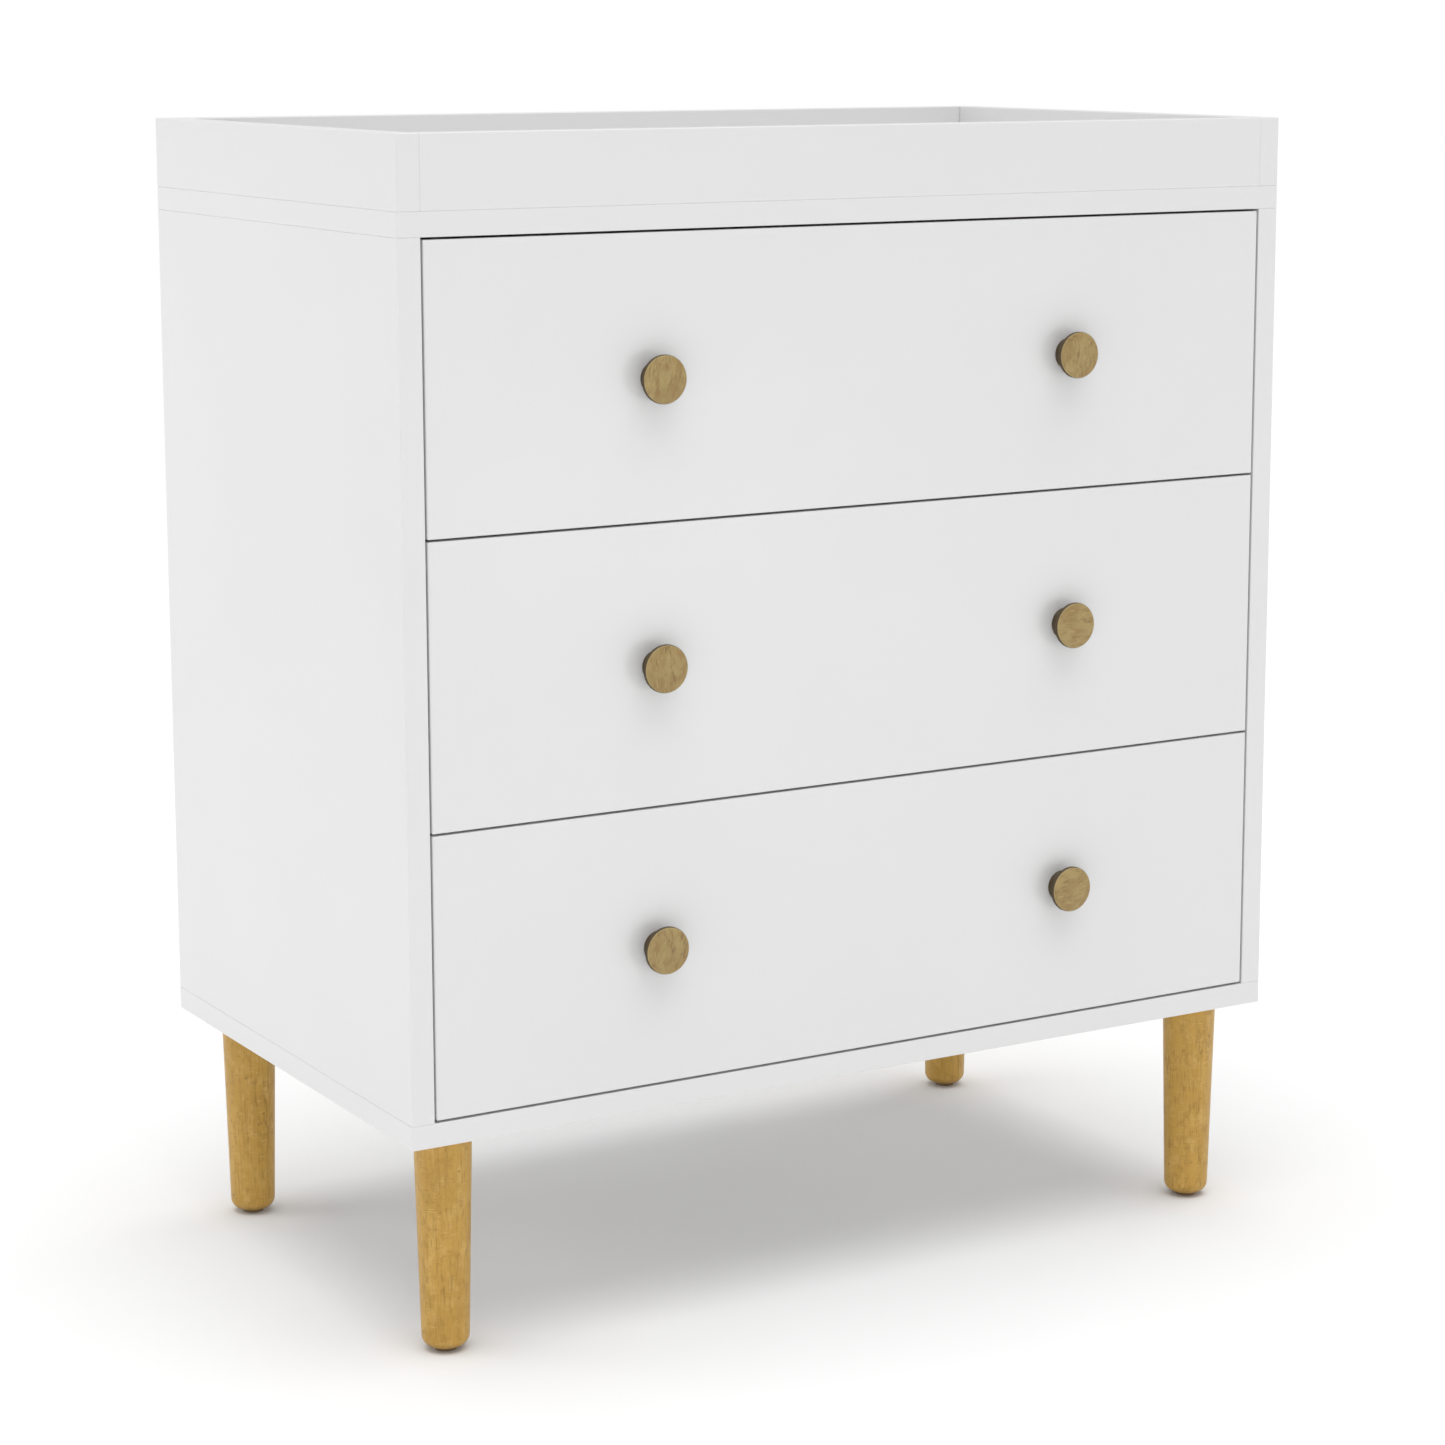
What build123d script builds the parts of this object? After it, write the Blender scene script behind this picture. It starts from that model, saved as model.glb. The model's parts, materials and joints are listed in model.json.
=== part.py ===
from build123d import *

import os
from dataclasses import dataclass

# A changing table: a chest of three drawers on turned legs, with a changing tray bolted on its top.
# Millimetres. +X is the user's right, +Y goes to the wall, +Z is up. The origin is on the floor, under
# the middle of everything, knobs and rear brackets included.

# Case
CASE_WIDTH = 860.0
CASE_DEPTH = 495.0
CASE_HEIGHT = 749.0
BOARD = 20.0
EDGE_EASE = 0.5
BACK_BOARD = 4.0
BACK_INSET = 15.0
BACK_GROOVE = 6.0
REAR_RAIL_HEIGHT = 80.0

# Legs
LEG_LENGTH = 185.0
LEG_TOP_RADIUS = 24.2
LEG_FOOT_RADIUS = 20.0
LEG_FOOT_ROUND = 10.0
LEG_SIDE_INSET = 47.0
LEG_FRONT_INSET = 43.0
LEG_REAR_INSET = 47.0
GLIDE_RADIUS = 9.5
GLIDE_HEIGHT = 3.0
GLIDE_ROUND = 0.8
GLIDE_STEM_RADIUS = 2.5
GLIDE_STEM_LENGTH = 14.0

# Changing tray
TRAY_HEIGHT = 60.0
TRAY_BOARD = 20.0

# Drawers
DRAWER_NAMES = ("bottom", "middle", "top")
FRONT_GAP = 2.0
FRONT_BOARD = 18.0
FRONT_EASE = 0.8
BOX_BOARD = 12.0
BOX_HEIGHT = 150.0
BOX_LIFT = 25.0
BOX_FLOOR = 6.0
BOX_FLOOR_LIFT = 12.0
BOX_GROOVE = 6.0
BOX_EASE = 0.5

# Knobs
KNOB_BASE_RADIUS = 13.5
KNOB_NECK_RADIUS = 11.5
KNOB_HEAD_RADIUS = 20.0
KNOB_PROJECTION = 19.0
KNOB_NECK_OUT = 7.0
KNOB_DOME = 1.5
KNOB_RIM = 3.5
KNOB_EDGE = 1.6
KNOB_SPACING = 408.0
KNOB_SCREW_RADIUS = 2.0
KNOB_SCREW_DEPTH = 11.0
KNOB_SCREW_HEAD_RADIUS = 4.5
KNOB_SCREW_HEAD = 2.4

# Ball bearing slides: a rail on the case, a middle rail that travels half way, a rail on the drawer
SLIDE_THICKNESS = 12.7
SLIDE_SETBACK = 3.0
SLIDE_STEEL = 1.2
SLIDE_UP = 60.0
CASE_RAIL_HEIGHT = 45.0
BALL_GAP = 3.7
SLIDE_SCREW_INSET = 35.0
SLIDE_SCREW_FORWARD = 10.0

# Fasteners
SCREW_RADIUS = 1.75
SCREW_HEAD_RADIUS = 3.5
SCREW_HEAD = 2.2
PANEL_SCREW_LENGTH = 16.0
BOX_SCREW_LENGTH = 30.0
DOWEL_RADIUS = 4.0
DOWEL_LENGTH = 30.0
CAM_RADIUS = 7.5
CASE_CAM_DEPTH = 12.5
BOX_CAM_DEPTH = 9.5
CAM_BOLT_RADIUS = 3.0
CAM_BOLT_THREAD = 11.0
CAM_REACH = 24.0
CAM_BOLT_TIP = 3.0
CAM_SLOT_WIDTH = 1.6
CAM_SLOT_LENGTH = 8.0
CAM_SLOT_DEPTH = 1.8
LEG_BOLT_RADIUS = 4.0
LEG_BOLT_IN_LEG = 35.0
INSERT_RADIUS = 6.0
INSERT_FLANGE_RADIUS = 9.0
INSERT_FLANGE = 1.5
BRACKET_STEEL = 2.0
BRACKET_WIDTH = 40.0
BRACKET_ROUND = 4.0
TRAY_BRACKET_HEIGHT = 58.0
TRAY_BRACKET_BELOW = 18.0
TRAY_BRACKET_SPACING = 500.0
BRACKET_SCREW_SPACING = 20.0
TRAY_BRACKET_SCREW_UP = 25.0
ANCHOR_HEIGHT = 26.0
ANCHOR_DROP = 40.0
ANCHOR_LIP = 16.0
ANCHOR_HOLE_RADIUS = 2.5

# Where the corner fastenings stand, measured in from the case's front and rear faces
CAM_INSET = 70.0
DOWEL_INSET = 110.0
RAIL_CAM_DROP = 58.0
RAIL_DOWEL_DROP = 22.0
TRAY_DOWEL_INSET = 15.0
BOX_CAM_INSET = 24.0
BOX_SCREW_INSET = 30.0

# Clearances
HOLE_CLEARANCE = 0.05
END_CLEARANCE = 0.5
GROOVE_CLEARANCE = 0.2
BOX_REAR_CLEARANCE = 18.0
SLIDE_REAR_CLEARANCE = 17.0
SCREW_HEAD_CLEARANCE = 0.6
CASE_RAIL_CLEARANCE = 2.2
MIDDLE_RAIL_CLEARANCE = 1.7
DRAWER_RAIL_CLEARANCE = 1.2
ANCHOR_CLEARANCE = 2.0

# How much of a board is left under what is let into it
INSERT_SKIN = 3.0
BOX_SCREW_SKIN = 2.2

# Places that follow from the sizes above
CASE_BOTTOM = GLIDE_HEIGHT + LEG_LENGTH
CASE_TOP = CASE_BOTTOM + CASE_HEIGHT
OPENING_BOTTOM = CASE_BOTTOM + BOARD
OPENING_TOP = CASE_TOP - BOARD
FRONT_HEIGHT = (OPENING_TOP - OPENING_BOTTOM - FRONT_GAP) / len(DRAWER_NAMES) - FRONT_GAP
CASE_FRONT = (KNOB_PROJECTION - CASE_DEPTH - BRACKET_STEEL - SCREW_HEAD) / 2
CASE_REAR = CASE_FRONT + CASE_DEPTH
SIDE_OUT = -CASE_WIDTH / 2
SIDE_IN = SIDE_OUT + BOARD
TRAY_IN = SIDE_OUT + TRAY_BOARD
BACK_REAR = CASE_REAR - BACK_INSET
BACK_FRONT = BACK_REAR - BACK_BOARD
BOX_OUT = SIDE_IN + SLIDE_THICKNESS
BOX_IN = BOX_OUT + BOX_BOARD
BOX_FRONT = CASE_FRONT + FRONT_BOARD
BOX_REAR = BACK_FRONT - BOARD - BOX_REAR_CLEARANCE
SLIDE_FRONT = BOX_FRONT + SLIDE_SETBACK
SLIDE_LENGTH = BOX_REAR - SLIDE_REAR_CLEARANCE - SLIDE_FRONT
SLIDE_SCREW_PLACES = (
    SLIDE_SCREW_INSET,
    SLIDE_LENGTH / 2 - SLIDE_SCREW_FORWARD,
    SLIDE_LENGTH - SLIDE_SCREW_INSET,
)
MIDDLE_RAIL_OFFSET = SLIDE_STEEL + SCREW_HEAD + SCREW_HEAD_CLEARANCE
CASE_RAIL_DEPTH = SLIDE_THICKNESS - CASE_RAIL_CLEARANCE
MIDDLE_RAIL_DEPTH = SLIDE_THICKNESS - MIDDLE_RAIL_OFFSET - MIDDLE_RAIL_CLEARANCE
DRAWER_RAIL_DEPTH = SLIDE_THICKNESS - MIDDLE_RAIL_OFFSET - SLIDE_STEEL - DRAWER_RAIL_CLEARANCE
MIDDLE_RAIL_HEIGHT = CASE_RAIL_HEIGHT - 2 * (SLIDE_STEEL + BALL_GAP)
DRAWER_RAIL_HEIGHT = MIDDLE_RAIL_HEIGHT - 2 * (SLIDE_STEEL + BALL_GAP)
BOX_RAIL_SCREW_LENGTH = SLIDE_STEEL + BOX_BOARD - BOX_SCREW_SKIN
INSERT_LENGTH = BOARD - INSERT_SKIN
KNOB_FLARE_OUT = KNOB_PROJECTION - KNOB_DOME - KNOB_RIM
ANCHOR_TAB = BACK_INSET - ANCHOR_CLEARANCE

LEFT, RIGHT = Vector(-1, 0, 0), Vector(1, 0, 0)
FORWARD, BACKWARD = Vector(0, -1, 0), Vector(0, 1, 0)
UP, DOWN = Vector(0, 0, 1), Vector(0, 0, -1)


@dataclass
class Fitting:
    """A fastener and the hole that it needs in the pieces that it passes through."""

    solid: Part
    hole: Part

    def mirrored(self):
        return Fitting(self.solid.mirror(Plane.YZ), self.hole.mirror(Plane.YZ))


def rod(start, along, length, radius):
    """A round bar from start, length long in the direction along."""
    place = Plane(origin=start, z_dir=along)
    return place * Cylinder(radius, length, align=(Align.CENTER, Align.CENTER, Align.MIN))


def block(low, high):
    """A plain box from its lowest to its highest corner."""
    size = Vector(*high) - Vector(*low)
    return Pos(*low) * Box(size.X, size.Y, size.Z, align=(Align.MIN, Align.MIN, Align.MIN))


def board(low, high, ease=EDGE_EASE):
    """A board with all its edges eased."""
    plain = block(low, high)
    return chamfer(plain.edges(), ease)


def near(one, other):
    """Whether two shapes' boxes meet."""
    a, b = one.bounding_box(), other.bounding_box()
    return all(
        low_a <= high_b and low_b <= high_a
        for low_a, high_a, low_b, high_b in zip(tuple(a.min), tuple(a.max), tuple(b.min), tuple(b.max))
    )


def drilled(shape, fittings):
    """The shape with a hole for each fitting that reaches it."""
    holes = [fitting.hole for fitting in fittings if near(shape, fitting.hole)]
    return shape - holes if holes else shape


def group(shapes):
    """Several separate solids as one piece of the list of parts."""
    return Compound([solid for shape in shapes for solid in shape.solids()])


def both_sides(shapes):
    """The shapes made for the left, and their mirror images for the right."""
    return shapes + [shape.mirror(Plane.YZ) for shape in shapes]


def both_hands(fittings):
    """The fittings made for the left, and their mirror images for the right."""
    return fittings + [fitting.mirrored() for fitting in fittings]


# Fasteners


def pan_screw(seat, along, length):
    """A pan head screw: its head stands on the surface at seat, and its shank goes in along."""
    head = rod(seat - along * SCREW_HEAD, along, SCREW_HEAD, SCREW_HEAD_RADIUS)
    head = fillet(head.edges().sort_by(Axis(seat, along))[0], SCREW_HEAD / 2)
    shank = rod(seat, along, length, SCREW_RADIUS)
    hole = rod(seat, along, length + END_CLEARANCE, SCREW_RADIUS + HOLE_CLEARANCE)
    return Fitting(head + shank, hole)


def flat_screw(seat, along, length):
    """A countersunk screw whose head is flush with the surface at seat."""
    depth = SCREW_HEAD_RADIUS - SCREW_RADIUS
    plane = Plane(origin=seat, z_dir=along)
    base = (Align.CENTER, Align.CENTER, Align.MIN)
    head = plane * Cone(SCREW_HEAD_RADIUS, SCREW_RADIUS, depth, align=base)
    seat_cut = plane * Cone(
        SCREW_HEAD_RADIUS + HOLE_CLEARANCE, SCREW_RADIUS + HOLE_CLEARANCE, depth, align=base
    )
    shank = rod(seat, along, length, SCREW_RADIUS)
    hole = rod(seat, along, length + END_CLEARANCE, SCREW_RADIUS + HOLE_CLEARANCE)
    return Fitting(head + shank, hole + seat_cut)


def dowel(joint, along):
    """A glued dowel, half on each side of the joint."""
    pin = rod(joint - along * DOWEL_LENGTH / 2, along, DOWEL_LENGTH, DOWEL_RADIUS)
    pin = chamfer(pin.edges().filter_by(GeomType.CIRCLE), 1.0)
    deep = DOWEL_LENGTH / 2 + END_CLEARANCE
    return Fitting(pin, rod(joint - along * deep, along, 2 * deep, DOWEL_RADIUS + HOLE_CLEARANCE))


def cam_pair(joint, into, face, cover, depth):
    """A cam lock and its bolt.

    The bolt is screwed into one board's face at joint and reaches along into the other board's end. The
    cam is bored into that board from its face, cover away from the bolt's axis, and depth deep.
    """
    length = CAM_BOLT_THREAD + CAM_REACH + CAM_BOLT_TIP
    bolt = rod(joint - into * CAM_BOLT_THREAD, into, length, CAM_BOLT_RADIUS)
    bolt_hole = rod(
        joint - into * (CAM_BOLT_THREAD + END_CLEARANCE),
        into,
        length + 2 * END_CLEARANCE,
        CAM_BOLT_RADIUS + HOLE_CLEARANCE,
    )
    mouth = joint + into * CAM_REACH + face * cover
    drum = rod(mouth, -face, depth, CAM_RADIUS) - bolt_hole
    slot = Box(CAM_SLOT_LENGTH, CAM_SLOT_WIDTH, 2 * CAM_SLOT_DEPTH) + Box(
        CAM_SLOT_WIDTH, CAM_SLOT_LENGTH, 2 * CAM_SLOT_DEPTH
    )
    drum = drum - Plane(origin=mouth, x_dir=into, z_dir=face) * slot
    drum_hole = rod(mouth, -face, depth + HOLE_CLEARANCE, CAM_RADIUS + HOLE_CLEARANCE)
    return Fitting(drum, drum_hole), Fitting(bolt, bolt_hole)


# Steelwork


def bracket_plate(low, high):
    """A flat steel plate that faces the wall, with rounded corners."""
    plain = block(low, high)
    return fillet(plain.edges().filter_by(Axis.Y), BRACKET_ROUND)


def channel(height, depth):
    """A slide rail: a web at x 0 and two lips out to x depth, along +Y."""
    place = (Align.MIN, Align.MIN, Align.CENTER)
    inside = Pos(SLIDE_STEEL, 0, 0) * Box(depth, SLIDE_LENGTH, height - 2 * SLIDE_STEEL, align=place)
    rail = Box(depth, SLIDE_LENGTH, height, align=place) - inside
    corners = rail.edges().filter_by(Axis.Y).group_by(Axis.X)[0]
    return fillet(corners, 0.8 * SLIDE_STEEL)


def front_bottom(level):
    """The lower edge of a drawer front, counted from the lowest drawer."""
    return OPENING_BOTTOM + FRONT_GAP + level * (FRONT_HEIGHT + FRONT_GAP)


def slide_middle(level):
    """The height of a slide's centre line."""
    return front_bottom(level) + BOX_LIFT + SLIDE_UP


def slide_screws(level):
    """The left slide's screws: into the case, and into the drawer."""
    case, drawer = [], []
    for place in SLIDE_SCREW_PLACES:
        y, z = SLIDE_FRONT + place, slide_middle(level)
        case.append(pan_screw(Vector(SIDE_IN + SLIDE_STEEL, y, z), LEFT, PANEL_SCREW_LENGTH))
        drawer.append(pan_screw(Vector(BOX_OUT - SLIDE_STEEL, y, z), RIGHT, BOX_RAIL_SCREW_LENGTH))
    return case, drawer


def slide_rails(level):
    """The left slide's rails: on the case, in the middle, and on the drawer."""
    z = slide_middle(level)
    case = Pos(SIDE_IN, SLIDE_FRONT, z) * channel(CASE_RAIL_HEIGHT, CASE_RAIL_DEPTH)
    middle = channel(MIDDLE_RAIL_HEIGHT, MIDDLE_RAIL_DEPTH)
    middle = Pos(SIDE_IN + MIDDLE_RAIL_OFFSET, SLIDE_FRONT, z) * middle
    drawer = channel(DRAWER_RAIL_HEIGHT, DRAWER_RAIL_DEPTH).mirror(Plane.YZ)
    drawer = Pos(BOX_OUT, SLIDE_FRONT, z) * drawer
    return case, middle, drawer


# Case and legs


def case_fittings():
    """The case's cams, cam bolts and dowels: four corners, and the rear rail's two ends."""
    cams, bolts, dowels = [], [], []
    middle = SIDE_OUT + BOARD / 2
    for z, into in ((OPENING_TOP, DOWN), (OPENING_BOTTOM, UP)):
        for y in (CASE_FRONT + CAM_INSET, CASE_REAR - CAM_INSET):
            cam, bolt = cam_pair(Vector(middle, y, z), into, RIGHT, BOARD / 2, CASE_CAM_DEPTH)
            cams.append(cam)
            bolts.append(bolt)
        for y in (CASE_FRONT + DOWEL_INSET, CASE_REAR - DOWEL_INSET):
            dowels.append(dowel(Vector(middle, y, z), into))
    rail_y = BACK_FRONT - BOARD / 2
    place = Vector(SIDE_IN, rail_y, OPENING_TOP - RAIL_CAM_DROP)
    cam, bolt = cam_pair(place, RIGHT, FORWARD, BOARD / 2, CASE_CAM_DEPTH)
    cams.append(cam)
    bolts.append(bolt)
    dowels.append(dowel(Vector(SIDE_IN, rail_y, OPENING_TOP - RAIL_DOWEL_DROP), RIGHT))
    return both_hands(cams), both_hands(bolts), both_hands(dowels)


def tray_dowels():
    """Two dowels in each corner of the tray."""
    made = []
    for y in (CASE_FRONT + TRAY_BOARD / 2, CASE_REAR - TRAY_BOARD / 2):
        for z in (CASE_TOP + TRAY_DOWEL_INSET, CASE_TOP + TRAY_HEIGHT - TRAY_DOWEL_INSET):
            made.append(dowel(Vector(TRAY_IN, y, z), RIGHT))
    return both_hands(made)


def leg_places():
    """Each leg's name and its axis on the floor."""
    x = CASE_WIDTH / 2 - LEG_SIDE_INSET
    front, rear = CASE_FRONT + LEG_FRONT_INSET, CASE_REAR - LEG_REAR_INSET
    return {
        "leg_front_left": Vector(-x, front, 0),
        "leg_front_right": Vector(x, front, 0),
        "leg_rear_left": Vector(-x, rear, 0),
        "leg_rear_right": Vector(x, rear, 0),
    }


def leg(place):
    """A turned leg: a straight taper with a round foot, bored for its bolt and its glide."""
    foot_round = min(LEG_FOOT_ROUND, LEG_FOOT_RADIUS - GLIDE_RADIUS)
    outline = Polyline(
        (0, LEG_LENGTH),
        (0, 0),
        (LEG_FOOT_RADIUS - foot_round, 0),
    )
    rounded = RadiusArc(
        (LEG_FOOT_RADIUS - foot_round, 0),
        (LEG_FOOT_RADIUS, foot_round),
        -foot_round,
    )
    taper = Polyline((LEG_FOOT_RADIUS, foot_round), (LEG_TOP_RADIUS, LEG_LENGTH), (0, LEG_LENGTH))
    turned = revolve(make_face(Plane.XZ * (outline + rounded + taper)), Axis.Z)
    bolt_hole = rod(
        Vector(0, 0, LEG_LENGTH), DOWN, LEG_BOLT_IN_LEG + END_CLEARANCE, LEG_BOLT_RADIUS + HOLE_CLEARANCE
    )
    stem_hole = rod(
        Vector(0, 0, 0), UP, GLIDE_STEM_LENGTH + END_CLEARANCE, GLIDE_STEM_RADIUS + HOLE_CLEARANCE
    )
    return Pos(*place) * Pos(0, 0, GLIDE_HEIGHT) * (turned - bolt_hole - stem_hole)


def glide(place):
    """A nylon glide, pressed into the foot of a leg by its stem."""
    disc = rod(place, UP, GLIDE_HEIGHT, GLIDE_RADIUS)
    disc = fillet(disc.edges().sort_by(Axis.Z)[0], GLIDE_ROUND)
    return disc + rod(place + UP * GLIDE_HEIGHT, UP, GLIDE_STEM_LENGTH, GLIDE_STEM_RADIUS)


def leg_insert(place):
    """A flanged nut let into the underside of the case, and its hole there."""
    seat = Vector(place.X, place.Y, CASE_BOTTOM)
    barrel = rod(seat, UP, INSERT_LENGTH, INSERT_RADIUS) + rod(seat, UP, INSERT_FLANGE, INSERT_FLANGE_RADIUS)
    bore = rod(seat, UP, INSERT_LENGTH, LEG_BOLT_RADIUS + HOLE_CLEARANCE)
    hole = rod(seat, UP, INSERT_LENGTH + END_CLEARANCE, INSERT_RADIUS + HOLE_CLEARANCE) + rod(
        seat, UP, INSERT_FLANGE, INSERT_FLANGE_RADIUS + HOLE_CLEARANCE
    )
    return Fitting(barrel - bore, hole)


def leg_bolt(place):
    """A hanger bolt from the leg up into its insert."""
    start = Vector(place.X, place.Y, CASE_BOTTOM - LEG_BOLT_IN_LEG)
    return rod(start, UP, LEG_BOLT_IN_LEG + INSERT_LENGTH, LEG_BOLT_RADIUS)


def back_groove():
    """The slot that the back stands in, all round the inside of the case."""
    deep = BACK_GROOVE
    return block(
        (SIDE_IN - deep, BACK_FRONT - GROOVE_CLEARANCE, OPENING_BOTTOM - deep),
        (-SIDE_IN + deep, BACK_REAR + GROOVE_CLEARANCE, OPENING_TOP + deep),
    )


def case_boards(fittings):
    """The case's boards, by name."""
    groove = back_groove()
    level = (SIDE_OUT, CASE_FRONT), (-SIDE_OUT, CASE_REAR)
    top = board((*level[0], OPENING_TOP), (*level[1], CASE_TOP)) - groove
    bottom = board((*level[0], CASE_BOTTOM), (*level[1], OPENING_BOTTOM)) - groove
    left = board((SIDE_OUT, CASE_FRONT, OPENING_BOTTOM), (SIDE_IN, CASE_REAR, OPENING_TOP)) - groove
    fit = BACK_GROOVE - GROOVE_CLEARANCE
    back = block(
        (SIDE_IN - fit, BACK_FRONT, OPENING_BOTTOM - fit),
        (-SIDE_IN + fit, BACK_REAR, OPENING_TOP + fit),
    )
    rail = board(
        (SIDE_IN, BACK_FRONT - BOARD, OPENING_TOP - REAR_RAIL_HEIGHT), (-SIDE_IN, BACK_FRONT, OPENING_TOP)
    )
    return {
        "top_panel": drilled(top, fittings),
        "bottom_panel": drilled(bottom, fittings),
        "side_panel_left": drilled(left, fittings),
        "side_panel_right": drilled(left.mirror(Plane.YZ), fittings),
        "back_panel": drilled(back, fittings),
        "rear_rail": drilled(rail, fittings),
    }


def tray_boards(fittings):
    """The changing tray's four boards: the sides run the full depth, the others stand between them."""
    top = CASE_TOP + TRAY_HEIGHT
    left = board((SIDE_OUT, CASE_FRONT, CASE_TOP), (TRAY_IN, CASE_REAR, top))
    front = board((TRAY_IN, CASE_FRONT, CASE_TOP), (-TRAY_IN, CASE_FRONT + TRAY_BOARD, top))
    back = board((TRAY_IN, CASE_REAR - TRAY_BOARD, CASE_TOP), (-TRAY_IN, CASE_REAR, top))
    return {
        "tray_side_left": drilled(left, fittings),
        "tray_side_right": drilled(left.mirror(Plane.YZ), fittings),
        "tray_front_board": drilled(front, fittings),
        "tray_back_board": drilled(back, fittings),
    }


def tray_brackets():
    """The two plates that hold the tray to the rear edge of the top, and their screws."""
    x = -TRAY_BRACKET_SPACING / 2
    bottom = CASE_TOP - TRAY_BRACKET_BELOW
    plate = bracket_plate(
        (x - BRACKET_WIDTH / 2, CASE_REAR, bottom),
        (x + BRACKET_WIDTH / 2, CASE_REAR + BRACKET_STEEL, bottom + TRAY_BRACKET_HEIGHT),
    )
    seats = [
        Vector(x + side * BRACKET_SCREW_SPACING / 2, CASE_REAR + BRACKET_STEEL, z)
        for side in (-1, 1)
        for z in (CASE_TOP - BOARD / 2, CASE_TOP + TRAY_BRACKET_SCREW_UP)
    ]
    screws = [pan_screw(seat, FORWARD, PANEL_SCREW_LENGTH) for seat in seats]
    return both_sides([drilled(plate, screws)]), both_hands(screws)


def wall_anchor():
    """The cranked plate behind the rear rail that the wall strap is tied to, and its screws."""
    top = OPENING_TOP - ANCHOR_DROP
    low = top - ANCHOR_HEIGHT
    half = BRACKET_WIDTH / 2
    out = BACK_REAR + ANCHOR_TAB
    plate = block((-half, BACK_REAR, low), (half, BACK_REAR + BRACKET_STEEL, top))
    tab = block((-half, BACK_REAR, low), (half, out, low + BRACKET_STEEL))
    lip = block((-half, out - BRACKET_STEEL, low - ANCHOR_LIP), (half, out, low + BRACKET_STEEL))
    cranked = plate + tab + lip
    corners = cranked.edges().filter_by(Axis.Y).group_by(Axis.Z)
    cranked = fillet(corners[0] + corners[-1], BRACKET_ROUND)
    hole = rod(Vector(0, out, low - ANCHOR_LIP / 2), FORWARD, BRACKET_STEEL, ANCHOR_HOLE_RADIUS)
    screws = [
        pan_screw(
            Vector(side * BRACKET_SCREW_SPACING / 2, BACK_REAR + BRACKET_STEEL, (top + low) / 2),
            FORWARD,
            PANEL_SCREW_LENGTH,
        )
        for side in (-1, 1)
    ]
    return drilled(cranked - hole, screws), screws


# Drawers


def knob():
    """A turned knob that stands on the drawer front and points up its own Z axis."""
    rim_end = KNOB_FLARE_OUT + KNOB_RIM
    foot = Polyline((0, KNOB_PROJECTION), (0, 0), (KNOB_BASE_RADIUS, 0), (KNOB_BASE_RADIUS, 1))
    neck = Spline(
        (KNOB_BASE_RADIUS, 1),
        (KNOB_NECK_RADIUS, KNOB_NECK_OUT),
        (KNOB_HEAD_RADIUS, KNOB_FLARE_OUT),
        tangents=[(-0.6, 1), (1, 0.8)],
    )
    rim = Line((KNOB_HEAD_RADIUS, KNOB_FLARE_OUT), (KNOB_HEAD_RADIUS, rim_end - KNOB_EDGE))
    edge = RadiusArc(
        (KNOB_HEAD_RADIUS, rim_end - KNOB_EDGE), (KNOB_HEAD_RADIUS - KNOB_EDGE, rim_end), -KNOB_EDGE
    )
    sag = KNOB_PROJECTION - rim_end
    chord = KNOB_HEAD_RADIUS - KNOB_EDGE
    dome_radius = (chord**2 + sag**2) / (2 * sag)
    dome = RadiusArc((chord, rim_end), (0, KNOB_PROJECTION), -dome_radius)
    turned = revolve(make_face(Plane.XZ * (foot + neck + rim + edge + dome)), Axis.Z)
    bore = rod(Vector(0, 0, 0), UP, KNOB_SCREW_DEPTH + END_CLEARANCE, KNOB_SCREW_RADIUS + HOLE_CLEARANCE)
    return turned - bore


def knob_screw(seat):
    """A machine screw from inside the drawer, through the front and into the knob."""
    head = rod(seat, BACKWARD, KNOB_SCREW_HEAD, KNOB_SCREW_HEAD_RADIUS)
    head = fillet(head.edges().sort_by(Axis.Y)[-1], KNOB_SCREW_HEAD / 2)
    length = FRONT_BOARD + KNOB_SCREW_DEPTH
    shank = rod(seat, FORWARD, length, KNOB_SCREW_RADIUS)
    hole = rod(seat, FORWARD, length + END_CLEARANCE, KNOB_SCREW_RADIUS + HOLE_CLEARANCE)
    return Fitting(head + shank, hole)


def box_fittings(bottom, floor_top):
    """A drawer box's cam pairs and screws."""
    cams, bolts = [], []
    for z in (bottom + BOX_CAM_INSET, bottom + BOX_HEIGHT - BOX_CAM_INSET):
        joint = Vector(BOX_OUT + BOX_BOARD / 2, BOX_FRONT, z)
        cam, bolt = cam_pair(joint, BACKWARD, LEFT, BOX_BOARD / 2, BOX_CAM_DEPTH)
        cams.append(cam)
        bolts.append(bolt)
    y = BOX_REAR - BOX_BOARD / 2
    screws = [
        flat_screw(Vector(BOX_OUT, y, z), RIGHT, BOX_SCREW_LENGTH)
        for z in (floor_top + BOX_SCREW_INSET, bottom + BOX_HEIGHT - BOX_SCREW_INSET)
    ]
    floor_screws = [
        flat_screw(Vector(x, y, bottom + BOX_FLOOR_LIFT), UP, BOX_SCREW_LENGTH)
        for x in (BOX_IN / 2, 0, -BOX_IN / 2)
    ]
    return both_hands(cams + bolts), both_hands(screws) + floor_screws


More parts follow.
